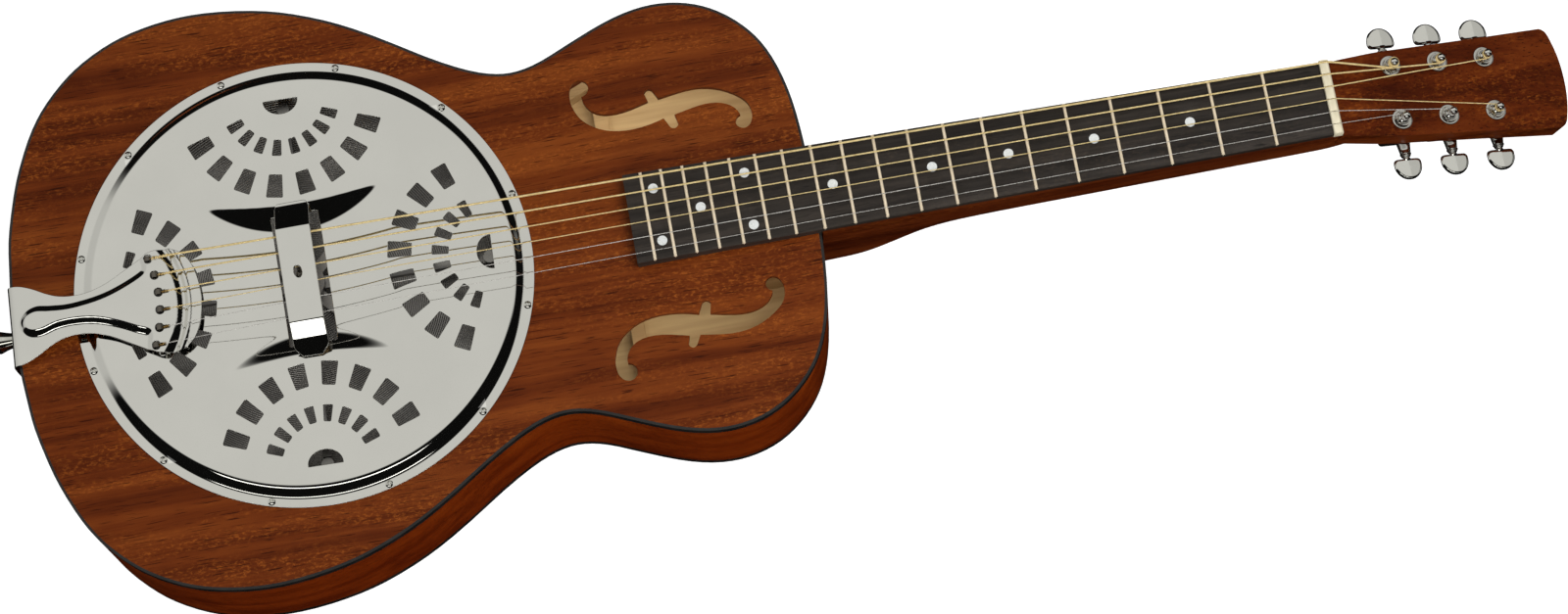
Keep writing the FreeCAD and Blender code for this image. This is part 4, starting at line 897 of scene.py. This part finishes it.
half = [(-183.75, 26.2), (-176, 24.9), (-168, 21.6), (-160, 17.2), (-152, 14.0), (-143, 12.8), (-133, 13.6), (-122, 17.2), (-112, 22.4), (-104, 26.8), (-98, 30.0), (-92, 32.6), (-84, 33.6), (-77, 32.4), (-70.5, 27.6), (-66.2, 20.0), (-63.6, 10.0), (-62.6, 0.0)]
hp = smooth_loop(half, 6, closed=False)
hu = np.column_stack([np.where(hp[:, 0] > -183.0, u_of_x(hp[:, 0]), 0), hp[:, 1]])
start_u = float(u_of_x(-182.0))
hu = hu[hp[:, 0] > -181.5]
head_pts = [(4.0, 25.2), (14.0, 26.1), (26.0, 26.3), (34.0, 26.2)]
side_a = np.vstack([np.array([p for p in head_pts if p[0] < hu[0][0] - 2]), hu])
loop_t = np.vstack([side_a, side_a[::-1][1:] * np.array([1, -1])])
loop_t = resample(loop_t, 1.1)
keys = [(-92.4, 28.0), (-89.2, 17.0), (-87.8, 5.7), (-87.8, -5.7), (-89.2, -17.0), (-92.4, -28.0)]
key_holes = []
for kx, ky in keys:
    cu = float(u_of_x(kx - 1.0))
    pts = []
    for k in range(25):
        a = math.radians(24 + k * 312 / 24.0)
        pts.append((cu + 2.75 * math.cos(a), ky + 2.75 * math.sin(a)))
    pts += [(cu + 4.4, ky - 1.0), (cu + 6.2, ky - 0.85), (cu + 6.9, ky), (cu + 6.2, ky + 0.85), (cu + 4.4, ky + 1.0)]
    key_holes.append(np.array(pts))
gt = hexgrid(0, tt[-1] + 2, -36, 36, 0.95)
ct = hexgrid(0, tt[-1] + 2, -36, 36, 1.9)
sheet_piece("tailpiece_formed", loop_t, key_holes, tail_surface, 1.0, gt, ct, M["chrome"], roll=0.40, clear=0.4, replaces=("tailpiece",), slot="chrome")


# ------------------------------------------------------------------ strings
STR = [("E", 0.67, 25.9, 22.9, 0), ("A", 0.53, 15.4, 14.7, 1), ("D", 0.40, 4.8, 6.5, 2), ("G", 0.30, -5.7, -1.8, 5), ("B", 0.21, -16.3, -10.0, 4), ("e", 0.16, -26.8, -18.2, 3)]
POSTS = [(-2.8 + 32.4 * k, sd * 18.0, sd) for sd in (1, -1) for k in range(3)]


def tail_world(x, y, z):
    c, s = math.cos(TURN), math.sin(TURN)
    return np.array([(x + 98) * c - y * s - 98, (x + 98) * s + y * c, z])


def round_path(points, reach=4.0, steps=7):
    pts = [np.asarray(p, float) for p in points]
    out = [pts[0]]
    for a, b, c in zip(pts, pts[1:], pts[2:]):
        r1 = min(reach, 0.4 * np.linalg.norm(a - b), 0.4 * np.linalg.norm(c - b))
        s, e = b + (a - b) / np.linalg.norm(a - b) * r1, b + (c - b) / np.linalg.norm(c - b) * r1
        for t in np.linspace(0, 1, steps):
            out.append((1 - t) ** 2 * s + 2 * t * (1 - t) * b + t * t * e)
    out.append(pts[-1])
    return out


def spaced(path, most):
    out = [path[0]]
    for a, b in zip(path, path[1:]):
        d = np.linalg.norm(b - a)
        k = max(1, int(math.ceil(d / most)))
        for j in range(1, k + 1):
            out.append(a + (b - a) * j / k)
    return out


wound, plain, bits = Mesh(), Mesh(), Mesh()
for i, (nm, r, ys, yn, ti) in enumerate(STR):
    kx, ky = keys[i]
    key = tail_world(kx + 1.4, ky, TOP + 16.2 + r)
    far = 12.5 if i in (0, 5) else 14.5
    ang = math.atan2(ys - key[1], 2.7 - key[0])
    bar = np.array([key[0] + far * math.cos(ang), key[1] + far * math.sin(ang), TOP + 18.05 + r])
    saddle = np.array([2.7, ys, TOP + 19.7 + 0.1 + r])
    nut0, nut1 = BOARD([(1.2, yn, 1.7)])[0], BOARD([(6.2, yn, 1.7)])[0]
    px, py, sd = POSTS[ti]
    wrap = 2.1 + r + 0.05
    z0 = 5.65 - (2 * r + 0.04)
    # the run from the nut to the post, tangent to the wraps, worked out in the headstock's frame
    nl = HEAD.back([nut1])[0]
    cx, cy = px - nl[0], py - nl[1]
    dist = math.hypot(cx, cy)
    base = math.atan2(cy, cx) - sd * math.asin(wrap / dist)
    run = math.sqrt(dist * dist - wrap * wrap)
    end = np.array([nl[0] + run * math.cos(base), nl[1] + run * math.sin(base), z0])
    a0 = math.atan2(end[1] - py, end[0] - px)
    d = np.array([math.cos(base), math.sin(base)])
    rad_v = np.array([math.cos(a0), math.sin(a0)])
    sense = 1 if rad_v[0] * d[1] - rad_v[1] * d[0] > 0 else -1
    coil = []
    turns = 2.6
    for k in range(int(turns * 22) + 1):
        t = k / 22.0
        coil.append((px + wrap * math.cos(a0 + sense * 2 * math.pi * t), py + wrap * math.sin(a0 + sense * 2 * math.pi * t), z0 + t * (2 * r + 0.08)))
    last = np.array(coil[-1])
    coil.append((px + 0.6 * (last[0] - px), py + 0.6 * (last[1] - py), last[2] + 0.2))
    path = spaced(round_path([key, bar, saddle, nut0, nut1, HEAD([end])[0]], 3.0), 40.0) + list(HEAD(coil[1:]))
    target = wound if i < 4 else plain
    v, f = tube(path, r, 12 if i < 4 else 9)
    target.add(v, f)
    # the lock twist between the ball and the bars
    line = spaced(round_path([key, bar, saddle], 3.0), 0.25)
    line = [p for p in line if np.linalg.norm(p - key) < far - 1.5]
    line = np.array(line)
    s_ = np.concatenate([[0], np.cumsum(np.linalg.norm(np.diff(line, axis=0), axis=1))])
    tv = line[-1] - line[0]
    tv /= np.linalg.norm(tv)
    side_v = np.cross(tv, [0, 0, 1.0])
    side_v /= np.linalg.norm(side_v)
    up_v = np.cross(side_v, tv)
    core = max(0.15, r * 0.42)
    off = r + core * 0.9
    ph = s_ * 2 * math.pi / (1.5 + 1.2 * r)
    tw = line + off * (np.cos(ph)[:, None] * side_v + np.sin(ph)[:, None] * up_v)
    v, f = tube(tw, core, 8)
    target.add(v, f)
    # the loop round the ball
    bc = tail_world(kx - 1.0, ky, TOP + 16.7)
    lp = []
    for k in range(17):
        a = math.pi * (0.5 + k / 16.0)
        lp.append(bc + np.array([2.15 * math.cos(a) * 1.0 + 0.3, 0.0, 1.5 * math.sin(a)]))
    lp = [key + np.array([0.4, 0, 0.35])] + lp + [key + np.array([0.4, 0, -0.3])]
    v, f = tube(lp, core, 8)
    bits.add(v, f)
    short = line[s_ < 3.6]
    for lag in (0.0, math.pi):
        q = s_[s_ < 3.6] * 2 * math.pi / 1.7 + lag
        v, f = tube(short + 0.42 * (np.cos(q)[:, None] * side_v + np.sin(q)[:, None] * up_v), 0.36, 8)
        bits.add(v, f)
    # the trimmed end beside the post
    e0 = np.array([px + 2.0 * math.cos(a0 + 2.2 * sense), py + 2.0 * math.sin(a0 + 2.2 * sense), 5.9])
    e1 = e0 + np.array([1.6 * math.cos(a0 + 2.2 * sense), 1.6 * math.sin(a0 + 2.2 * sense), 0.5])
    v, f = tube(HEAD([e0, (e0 + e1) / 2, e1]), r * 0.95, 9)
    target.add(v, f)
piece("strings_wound", wound.verts(), wound.f, M["bronze"], replaces=("wound_strings",), slot="string_bronze", angle=60)
piece("string_ball_windings", bits.verts(), bits.f, M["brass"], slot="brass", angle=60)
piece("strings_plain", plain.verts(), plain.f, M["plain"], replaces=("plain_strings",), slot="string_steel", angle=60)


# ------------------------------------------------------------------ tuners
def smooth_profile(pts, per=5):
    return smooth_loop(pts, per, closed=False)


button_outline = [(-7.6, 19.8), (-4, 19.55), (0, 19.5), (4, 19.55), (7.6, 19.8), (9.1, 21.2), (9.4, 23.6), (8.9, 26.8), (6.9, 30.2), (3.7, 32.5), (0, 33.2), (-3.7, 32.5), (-6.9, 30.2), (-8.9, 26.8), (-9.4, 23.6), (-9.1, 21.2)]
bl = resample(smooth_loop(button_outline, 8), 0.55)


def button_mesh():
    """Pillow-edged knob; rings from the middle of one face round the rim to the other."""
    ms = Mesh()
    c = np.array([0.0, 25.6])
    rings_ = []
    for s, z in ((0.0, 2.20), (0.25, 2.20), (0.5, 2.18), (0.72, 2.14), (0.84, 2.08), (0.885, 1.98), (0.92, 1.78), (0.95, 1.48), (0.975, 1.08), (0.992, 0.6), (1.0, 0.0)):
        rings_.append((s, z))
    full = rings_ + [(s, -z) for s, z in rings_[::-1][1:]]
    verts, n = [], len(bl)
    for s, z in full:
        if s == 0:
            verts.append([(c[0], c[1], z)])
        else:
            q = c + (bl - c) * s
            verts.append([(x, y, z - math.copysign(0.045 * abs(x), z) if abs(z) > 1.0 else z) for x, y in q])
    flat = [p for row in verts for p in row]
    idx, k0 = [], 0
    for row in verts:
        idx.append(list(range(k0, k0 + len(row))))
        k0 += len(row)
    faces = []
    ccw = area2(bl) > 0
    for a, b in zip(idx, idx[1:]):
        for k in range(n):
            k2 = (k + 1) % n
            if len(a) == 1:
                f = (a[0], b[k], b[k2])
            elif len(b) == 1:
                f = (a[k], b[0], a[k2])
            else:
                f = (a[k], b[k], b[k2], a[k2])
            faces.append(f if ccw else f[::-1])
    ms.add(flat, faces)
    # turned collar, axis along +Y
    prof_ = [(0.0, 16.95), (2.2, 16.98), (3.0, 17.1), (3.15, 17.5), (3.05, 18.0), (2.6, 18.3), (2.25, 18.7), (2.2, 19.2), (2.6, 19.7), (3.0, 20.3), (2.7, 21.0), (0.0, 21.2)]
    v, f = lathe(prof_, 28)
    v = np.column_stack([v[:, 0], v[:, 2], -v[:, 1]])
    ms.add(v, f)
    return ms


def oriented(verts, faces, sd):
    """Mirrors for the treble side."""
    v = np.array(verts, float)
    if sd < 0:
        v[:, 1] *= -1
        faces = [f[::-1] for f in faces]
    return v, faces


names = ["bass_1", "bass_2", "bass_3", "treble_1", "treble_2", "treble_3"]
bm_ = button_mesh()
post_prof = [(0.0, 10.35), (0.7, 10.3), (1.4, 10.05), (2.05, 9.6), (2.5, 9.0), (2.62, 8.55), (2.5, 8.2), (2.2, 7.95), (2.08, 7.6), (2.02, 6.6), (2.0, 5.65), (2.02, 4.6), (2.1, 3.9), (2.35, 3.6), (2.75, 3.42), (2.95, 3.2), (2.97, 2.8), (2.97, -18.4), (1.9, -18.5), (1.9, -23.4), (0.0, -23.5)]
for nm, (px, py, sd) in zip(names, POSTS):
    v, f = oriented(bm_.verts() + np.array([7.6, 0, -21.5]), bm_.f, sd)
    v = v + np.array([px, py, 0])
    piece("button_knob_" + nm, HEAD(v), f, M["chrome_small"], body="button_" + nm, replaces=("tuner_button_" + nm,), slot="chrome", angle=50)
    v, f = lathe(post_prof, 32)
    piece("string_post_" + nm, HEAD(v + np.array([px, py, 0])), [g[::-1] for g in f], M["chrome_small"], body="post_" + nm, replaces=("tuner_post_" + nm,), slot="chrome", angle=38)

bush, wash, hous = Mesh(), Mesh(), Mesh()


def ring_profile(inner, outer, z0, z1, bev):
    return [(inner, z0), (outer, z0), (outer, z1 - bev), (outer - bev * 0.3, z1 - bev * 0.3), (outer - bev, z1), (inner + bev, z1), (inner + bev * 0.3, z1 - bev * 0.3), (inner, z1 - bev)]


def hex_nut(r_out, inner, z0, z1, rot):
    """Six-sided nut with its corners turned off, over a round lip."""
    n = 48
    rows = []
    verts = []
    for zi, (z, shrink, top) in enumerate([(z0, 1.0, 0), (z1 - 0.75, 1.0, 0), (z1 - 0.3, 0.955, 1), (z1, 0.90, 1)]):
        row = []
        for k in range(n):
            a = 2 * math.pi * k / n
            h = (a - rot) % (math.pi / 3) - math.pi / 6
            rhex = r_out * math.cos(math.pi / 6) / math.cos(h)
            r_ = min(rhex, r_out * 0.985) if top == 0 else min(rhex, r_out * shrink)
            row.append((r_ * math.cos(a), r_ * math.sin(a), z))
        rows.append(row)
    rows.append([((inner + 0.9) * math.cos(2 * math.pi * k / n), (inner + 0.9) * math.sin(2 * math.pi * k / n), z1) for k in range(n)])
    rows.append([((inner + 0.55) * math.cos(2 * math.pi * k / n), (inner + 0.55) * math.sin(2 * math.pi * k / n), z1 + 0.55) for k in range(n)])
    rows.append([((inner + 0.15) * math.cos(2 * math.pi * k / n), (inner + 0.15) * math.sin(2 * math.pi * k / n), z1 + 0.6) for k in range(n)])
    rows.append([(inner * math.cos(2 * math.pi * k / n), inner * math.sin(2 * math.pi * k / n), z1 + 0.3) for k in range(n)])
    rows.append([(inner * math.cos(2 * math.pi * k / n), inner * math.sin(2 * math.pi * k / n), z0) for k in range(n)])
    verts = [p for row in rows for p in row]
    faces = []
    m_ = len(rows)
    for a in range(m_):
        b = (a + 1) % m_
        for k in range(n):
            k2 = (k + 1) % n
            faces.append((a * n + k, a * n + k2, b * n + k2, b * n + k))
    return np.array(verts), faces


def rounded_box(x0, x1, y0, y1, z0, z1, rc, re, n=6):
    """Closed box with rounded upright corners (rc) and rounded lower edge (re)."""
    def outline_(ins, r_):
        pts = []
        for cx, cy, a0 in ((x1 - ins, y1 - ins, 0), (x0 + ins, y1 - ins, 90), (x0 + ins, y0 + ins, 180), (x1 - ins, y0 + ins, 270)):
            rx = max(r_ - ins, 0.25)
            ox = cx - rx if a0 in (0, 270) else cx + rx
            oy = cy - rx if a0 in (0, 90) else cy + rx
            for k in range(n + 1):
                a = math.radians(a0 + 90 * k / n)
                pts.append((ox + rx * math.cos(a), oy + rx * math.sin(a)))
        return pts
    rows = []
    for q in ((0.0, z1),):
        rows.append([(x, y, q[1]) for x, y in outline_(0.0, rc)])
    for k in range(n + 1):
        a = math.radians(90 * k / n)
        rows.append([(x, y, z0 + re - re * math.sin(a)) for x, y in outline_(re * (1 - math.cos(a)), rc)])
    m_ = len(rows[0])
    verts = [p for row in rows for p in row]
    faces = []
    for a in range(len(rows) - 1):
        for k in range(m_):
            k2 = (k + 1) % m_
            faces.append((a * m_ + k, (a + 1) * m_ + k, (a + 1) * m_ + k2, a * m_ + k2))
    faces.append(tuple(range(m_)))
    faces.append(tuple((len(rows) - 1) * m_ + k for k in range(m_))[::-1])
    return np.array(verts), faces


for nm, (px, py, sd) in zip(names, POSTS):
    at = np.array([px, py, 0])
    v, f = lathe([(r_, z_) for r_, z_ in ring_profile(4.3, 6.75, 0.04, 0.95, 0.34)], 48, closed=True)
    wash.add(HEAD(v + at), f)
    v, f = hex_nut(5.45, 3.06, 0.95, 2.75, math.radians(12 + 17 * sd + 9 * px / 30.0))
    bush.add(HEAD(v + at), f)
    v, f = lathe([(3.06, 1.2), (4.25, 1.2), (4.25, -14.8), (3.06, -14.8)], 32, closed=True)
    bush.add(HEAD(v + at), [g[::-1] for g in f])
    v, f = rounded_box(-7.4, 12.6, -8.2, 8.4, -27.45, -15.05, 2.4, 1.9)
    v, f = oriented(v, f, sd)
    hous.add(HEAD(v + at), f)
    bprof = [(0.0, 6.5), (4.6, 6.6), (4.75, 8.0), (4.45, 8.8), (4.2, 10.5), (3.75, 13.5), (3.4, 15.9), (3.55, 16.15), (3.7, 16.35), (3.7, 16.7), (3.5, 16.95), (1.75, 17.0), (0.0, 17.0)]
    v, f = lathe(bprof, 32)
    v = np.column_stack([v[:, 0], v[:, 2], -v[:, 1]]) + np.array([7.6, 0, -21.5])
    v, f = oriented(v, f, sd)
    hous.add(HEAD(v + at), f)
    ear = [(0.2, -7.8), (0.2, -10.8)] + [(3.0 + 2.8 * math.cos(math.radians(a)), -10.8 + 2.8 * math.sin(math.radians(a))) for a in range(180, 361, 20)] + [(5.8, -7.8)]
    ev, ef = [], []
    m_ = len(ear)
    for z_, sc in ((-15.05, 1.0), (-17.0, 1.0), (-17.45, 0.9)):
        for x_, y_ in ear:
            ev.append((3.0 + (x_ - 3.0) * sc, -9.6 + (y_ + 9.6) * sc, z_))
    for a in range(2):
        for k in range(m_):
            k2 = (k + 1) % m_
            ef.append((a * m_ + k, (a + 1) * m_ + k, (a + 1) * m_ + k2, a * m_ + k2))
    ef.append(tuple(range(m_)))
    ef.append(tuple(2 * m_ + k for k in range(m_))[::-1])
    v, f = oriented(np.array(ev), ef, sd)
    hous.add(HEAD(v + at), f)
piece("post_washers_turned", wash.verts(), wash.f, M["washer"], replaces=("tuner_washers",), slot="chrome", angle=40)
piece("post_bushings_hex", bush.verts(), bush.f, M["washer"], replaces=("tuner_bushings",), slot="chrome", angle=35)
piece("tuner_housings_sealed", hous.verts(), hous.f, M["chrome_small"], replaces=("tuner_housings",), slot="chrome", angle=40)


# strap button, turned
prof_s = [(0.0, -200.0), (4.0, -200.0), (6.4, -199.85), (7.1, -199.3), (7.3, -198.4), (7.05, -197.3), (6.3, -195.2), (5.5, -192.6), (4.8, -189.9), (4.35, -187.8), (4.3, -186.6), (4.3, -186.1), (0.0, -186.05)]
pr = smooth_loop(prof_s, 4, closed=False)
v, f = lathe([(max(a, 0.0), b) for a, b in pr], 48)
v = np.column_stack([v[:, 2], v[:, 0] + 3.6, v[:, 1] + 64.0])
piece("strap_button_turned", v, f, M["chrome_small"], replaces=("strap_button", "strap_button_screw"), slot="chrome", angle=50)


# ------------------------------------------------------------------ looks of the CAD nodes that stay
look = {
    "soundboard": "top", "sides": "side", "back": "back", "top_binding": "binding", "back_binding": "binding", "linings": "inner", "neck_block": "inner",
    "tail_block": "inner", "top_braces": "inner", "back_braces": "inner", "soundwell_ring": "inner", "resonator_cone": "cone", "spider_bridge": "cast",
    "tension_screw": "steel", "saddle_inserts": "maple", "fingerboard": "fb", "fingerboard_riser": "fb", "frets": "fret", "fret_markers": "dot", "nut": "nut",
    "neck": "neck", "truss_rod": "steel", "neck_bolts": "steel", "tuner_screws": "steel", "ball_ends": "ball"}
for nm in names:
    look["tuner_worm_" + nm] = "steel"
    look["tuner_gear_" + nm] = "brass"
for nm, ob in nodes.items():
    if ob.hide_render:
        continue
    key = look.get(nm, "steel")
    ob.data.materials.clear()
    ob.data.materials.append(M[key].m)
    for p in ob.data.polygons:
        p.material_index = 0
    ob.data.polygons.foreach_set("use_smooth", [True] * len(ob.data.polygons))
    weld = ob.modifiers.new("weld", "WELD")
    weld.merge_threshold = 0.000004
    bevel_by = {"frets": 0.0, "nut": 0.00025, "neck": 0.0, "fingerboard": 0.00035, "spider_bridge": 0.0}.get(nm, 0.0)
    if bevel_by:
        bv = ob.modifiers.new("soft_edge", "BEVEL")
        bv.width = bevel_by
        bv.segments = 2
        bv.limit_method = "ANGLE"
        bv.angle_limit = math.radians(40)
    sp = ob.modifiers.new("edges", "EDGE_SPLIT")
    sp.split_angle = math.radians(28)
    sp.use_edge_sharp = False


# ------------------------------------------------------------------ floor, light and camera
floor_me = bpy.data.meshes.new("floor")
S = 14.0
floor_me.from_pydata([(-S, -S, -0.0004), (S, -S, -0.0004), (S, S, -0.0004), (-S, S, -0.0004)], [], [(0, 1, 2, 3)])
floor = bpy.data.objects.new("floor", floor_me)
scene.collection.objects.link(floor)
fm = bpy.data.materials.new("pale_floor")
fm.use_nodes = True
ft = fm.node_tree
ft.nodes.clear()
fo = ft.nodes.new("ShaderNodeOutputMaterial")
em = ft.nodes.new("ShaderNodeEmission")
em.inputs["Color"].default_value = (1, 1, 1, 1)
em.inputs["Strength"].default_value = 0.93
df = ft.nodes.new("ShaderNodeBsdfDiffuse")
df.inputs["Color"].default_value = (0.30, 0.30, 0.30, 1)
ad = ft.nodes.new("ShaderNodeAddShader")
ft.links.new(em.outputs[0], ad.inputs[0])
ft.links.new(df.outputs[0], ad.inputs[1])
ft.links.new(ad.outputs[0], fo.inputs[0])
floor_me.materials.append(fm)
floor.visible_glossy = False
floor.visible_diffuse = False

world = bpy.data.worlds.new("studio")
scene.world = world
world.use_nodes = True
wt = world.node_tree
wt.nodes.clear()


class World:
    def math(self, op, a, b=None):
        n = wt.nodes.new("ShaderNodeMath")
        n.operation = op
        for i, v in enumerate((a, b)):
            if v is None:
                continue
            if isinstance(v, (int, float)):
                n.inputs[i].default_value = v
            else:
                wt.links.new(v, n.inputs[i])
        return n.outputs[0]

    def dot(self, vec, c):
        n = wt.nodes.new("ShaderNodeVectorMath")
        n.operation = "DOT_PRODUCT"
        wt.links.new(vec, n.inputs[0])
        n.inputs[1].default_value = c
        return n.outputs["Value"]

    def step(self, v, a, b):
        n = wt.nodes.new("ShaderNodeMapRange")
        n.interpolation_type = "SMOOTHSTEP"
        n.clamp = True
        n.inputs["From Min"].default_value = a
        n.inputs["From Max"].default_value = b
        wt.links.new(v, n.inputs["Value"])
        return n.outputs[0]


W = World()
wtc = wt.nodes.new("ShaderNodeTexCoord")
wdir = wtc.outputs["Generated"]


def card(direction, wide, tall, level, roll=0.0, soft=0.03):
    """A soft-edged panel of light seen in that direction; half sizes in degrees."""
    c = Vector(direction).normalized()
    u = Vector((0, 0, 1)).cross(c)
    u = Vector((1, 0, 0)) if u.length < 1e-3 else u.normalized()
    w = c.cross(u)
    u, w = u * math.cos(roll) + w * math.sin(roll), w * math.cos(roll) - u * math.sin(roll)
    dc = W.math("MAXIMUM", W.dot(wdir, c), 0.001)
    a = W.math("ABSOLUTE", W.math("DIVIDE", W.dot(wdir, u), dc))
    b = W.math("ABSOLUTE", W.math("DIVIDE", W.dot(wdir, w), dc))
    ta, tb = math.tan(math.radians(wide)), math.tan(math.radians(tall))
    ma = W.step(a, ta + soft, ta - soft)
    mb = W.step(b, tb + soft, tb - soft)
    front = W.step(W.dot(wdir, c), 0.0, 0.05)
    return W.math("MULTIPLY", W.math("MULTIPLY", W.math("MULTIPLY", ma, mb), front), level)


sx_, sy_, sz_ = None, None, None
sp_ = wt.nodes.new("ShaderNodeSeparateXYZ")
wt.links.new(wdir, sp_.inputs[0])
phi = W.math("ARCTAN2", sp_.outputs[0], sp_.outputs[2])        # angle from the vertical in the guitar's length
psi = W.math("ARCSINE", sp_.outputs[1])                        # angle across it
deg = math.radians
span = W.math("MULTIPLY", W.step(phi, deg(-104), deg(-94)), W.step(phi, deg(60), deg(54)))
across_ = W.math("MULTIPLY", W.step(psi, deg(-5.0), deg(3.0)), W.step(psi, deg(52), deg(42)))
tone_ = W.math("SUBTRACT", 0.655, W.math("MULTIPLY", W.step(phi, deg(37), deg(46)), 0.12))
tone_ = W.math("SUBTRACT", tone_, W.math("MULTIPLY", W.step(phi, deg(-30), deg(-80)), 0.10))
panel = W.math("MULTIPLY", W.math("MULTIPLY", span, across_), tone_)
cards = [
    panel,
    card((-0.12, -0.585, 0.80), 27, 4.2, 3.0, soft=0.02),         # strip above the player's side
    card((0.10, -0.97, 0.19), 30, 2.5, 1.2, soft=0.02),             # lower strip on the same side
    card((0.97, 0.10, 0.22), 14, 6.0, 0.8, soft=0.04),
]
total = cards[0]
for c_ in cards[1:]:
    total = W.math("ADD", total, c_)
total = W.math("ADD", total, 0.004)
bg_g = wt.nodes.new("ShaderNodeBackground")
bg_g.inputs["Color"].default_value = (1.0, 0.995, 0.945, 1)
wt.links.new(total, bg_g.inputs["Strength"])
bg_d = wt.nodes.new("ShaderNodeBackground")
bg_d.inputs["Color"].default_value = (1, 1, 1, 1)
bg_d.inputs["Strength"].default_value = 0.42
bg_c = wt.nodes.new("ShaderNodeBackground")
bg_c.inputs["Color"].default_value = (1, 1, 1, 1)
bg_c.inputs["Strength"].default_value = 1.0
lp_ = wt.nodes.new("ShaderNodeLightPath")
mx1 = wt.nodes.new("ShaderNodeMixShader")
mx2 = wt.nodes.new("ShaderNodeMixShader")
wt.links.new(lp_.outputs["Is Glossy Ray"], mx1.inputs[0])
wt.links.new(bg_d.outputs[0], mx1.inputs[1])
wt.links.new(bg_g.outputs[0], mx1.inputs[2])
wt.links.new(lp_.outputs["Is Camera Ray"], mx2.inputs[0])
wt.links.new(mx1.outputs[0], mx2.inputs[1])
wt.links.new(bg_c.outputs[0], mx2.inputs[2])
wo = wt.nodes.new("ShaderNodeOutputWorld")
wt.links.new(mx2.outputs[0], wo.inputs[0])


def area(name, loc, target, size, power, glossy=False):
    la = bpy.data.lights.new(name, "AREA")
    la.shape = "RECTANGLE"
    la.size, la.size_y = size
    la.energy = power
    ob = bpy.data.objects.new(name, la)
    scene.collection.objects.link(ob)
    ob.location = loc
    ob.rotation_euler = (Vector(target) - Vector(loc)).to_track_quat("-Z", "Y").to_euler()
    ob.visible_glossy = glossy
    ob.visible_camera = False
    return ob


area("key", (1.0, -0.5, 1.8), (0.25, 0.0, 0.08), (1.1, 1.1), 34.0)
area("top_fill", (0.2, 0.3, 2.6), (0.25, 0.0, 0.08), (1.8, 1.8), 12.0)
area("side_fill", (0.2, -2.0, 0.75), (0.1, -0.1, 0.03), (1.4, 0.9), 24.0)
area("under_treble_hole", (0.235, -0.075, 0.0805), (0.235, -0.075, 0.0), (0.15, 0.10), 0.046)
area("under_bass_hole", (0.235, 0.085, 0.0805), (0.235, 0.085, 0.0), (0.15, 0.08), 0.075)
area("over_cone", (0.0, 0.0, 0.0905), (0.0, 0.0, 0.0), (0.20, 0.20), 0.022, glossy=True)

cam_data = bpy.data.cameras.new("camera")
cam = bpy.data.objects.new("camera", cam_data)
scene.collection.objects.link(cam)
cam_data.sensor_width = 36.0
cam_data.sensor_fit = "HORIZONTAL"
cam_data.lens = 87.81
cam_data.shift_x = 0.01569
cam_data.shift_y = 0.07116
cam_data.clip_start, cam_data.clip_end = 0.05, 60.0
rot = Matrix(((0.98423, 0.17645, -0.01272, 0), (-0.17447, 0.95624, -0.23488, 0), (-0.02928, 0.23340, 0.97194, 0), (0, 0, 0, 1)))
cam.matrix_world = Matrix.Translation((0.23504, -0.69346, 2.38752)) @ rot.to_quaternion().to_matrix().to_4x4()
scene.camera = cam
scene.view_settings.view_transform = "Standard"
scene.view_settings.look = "None"
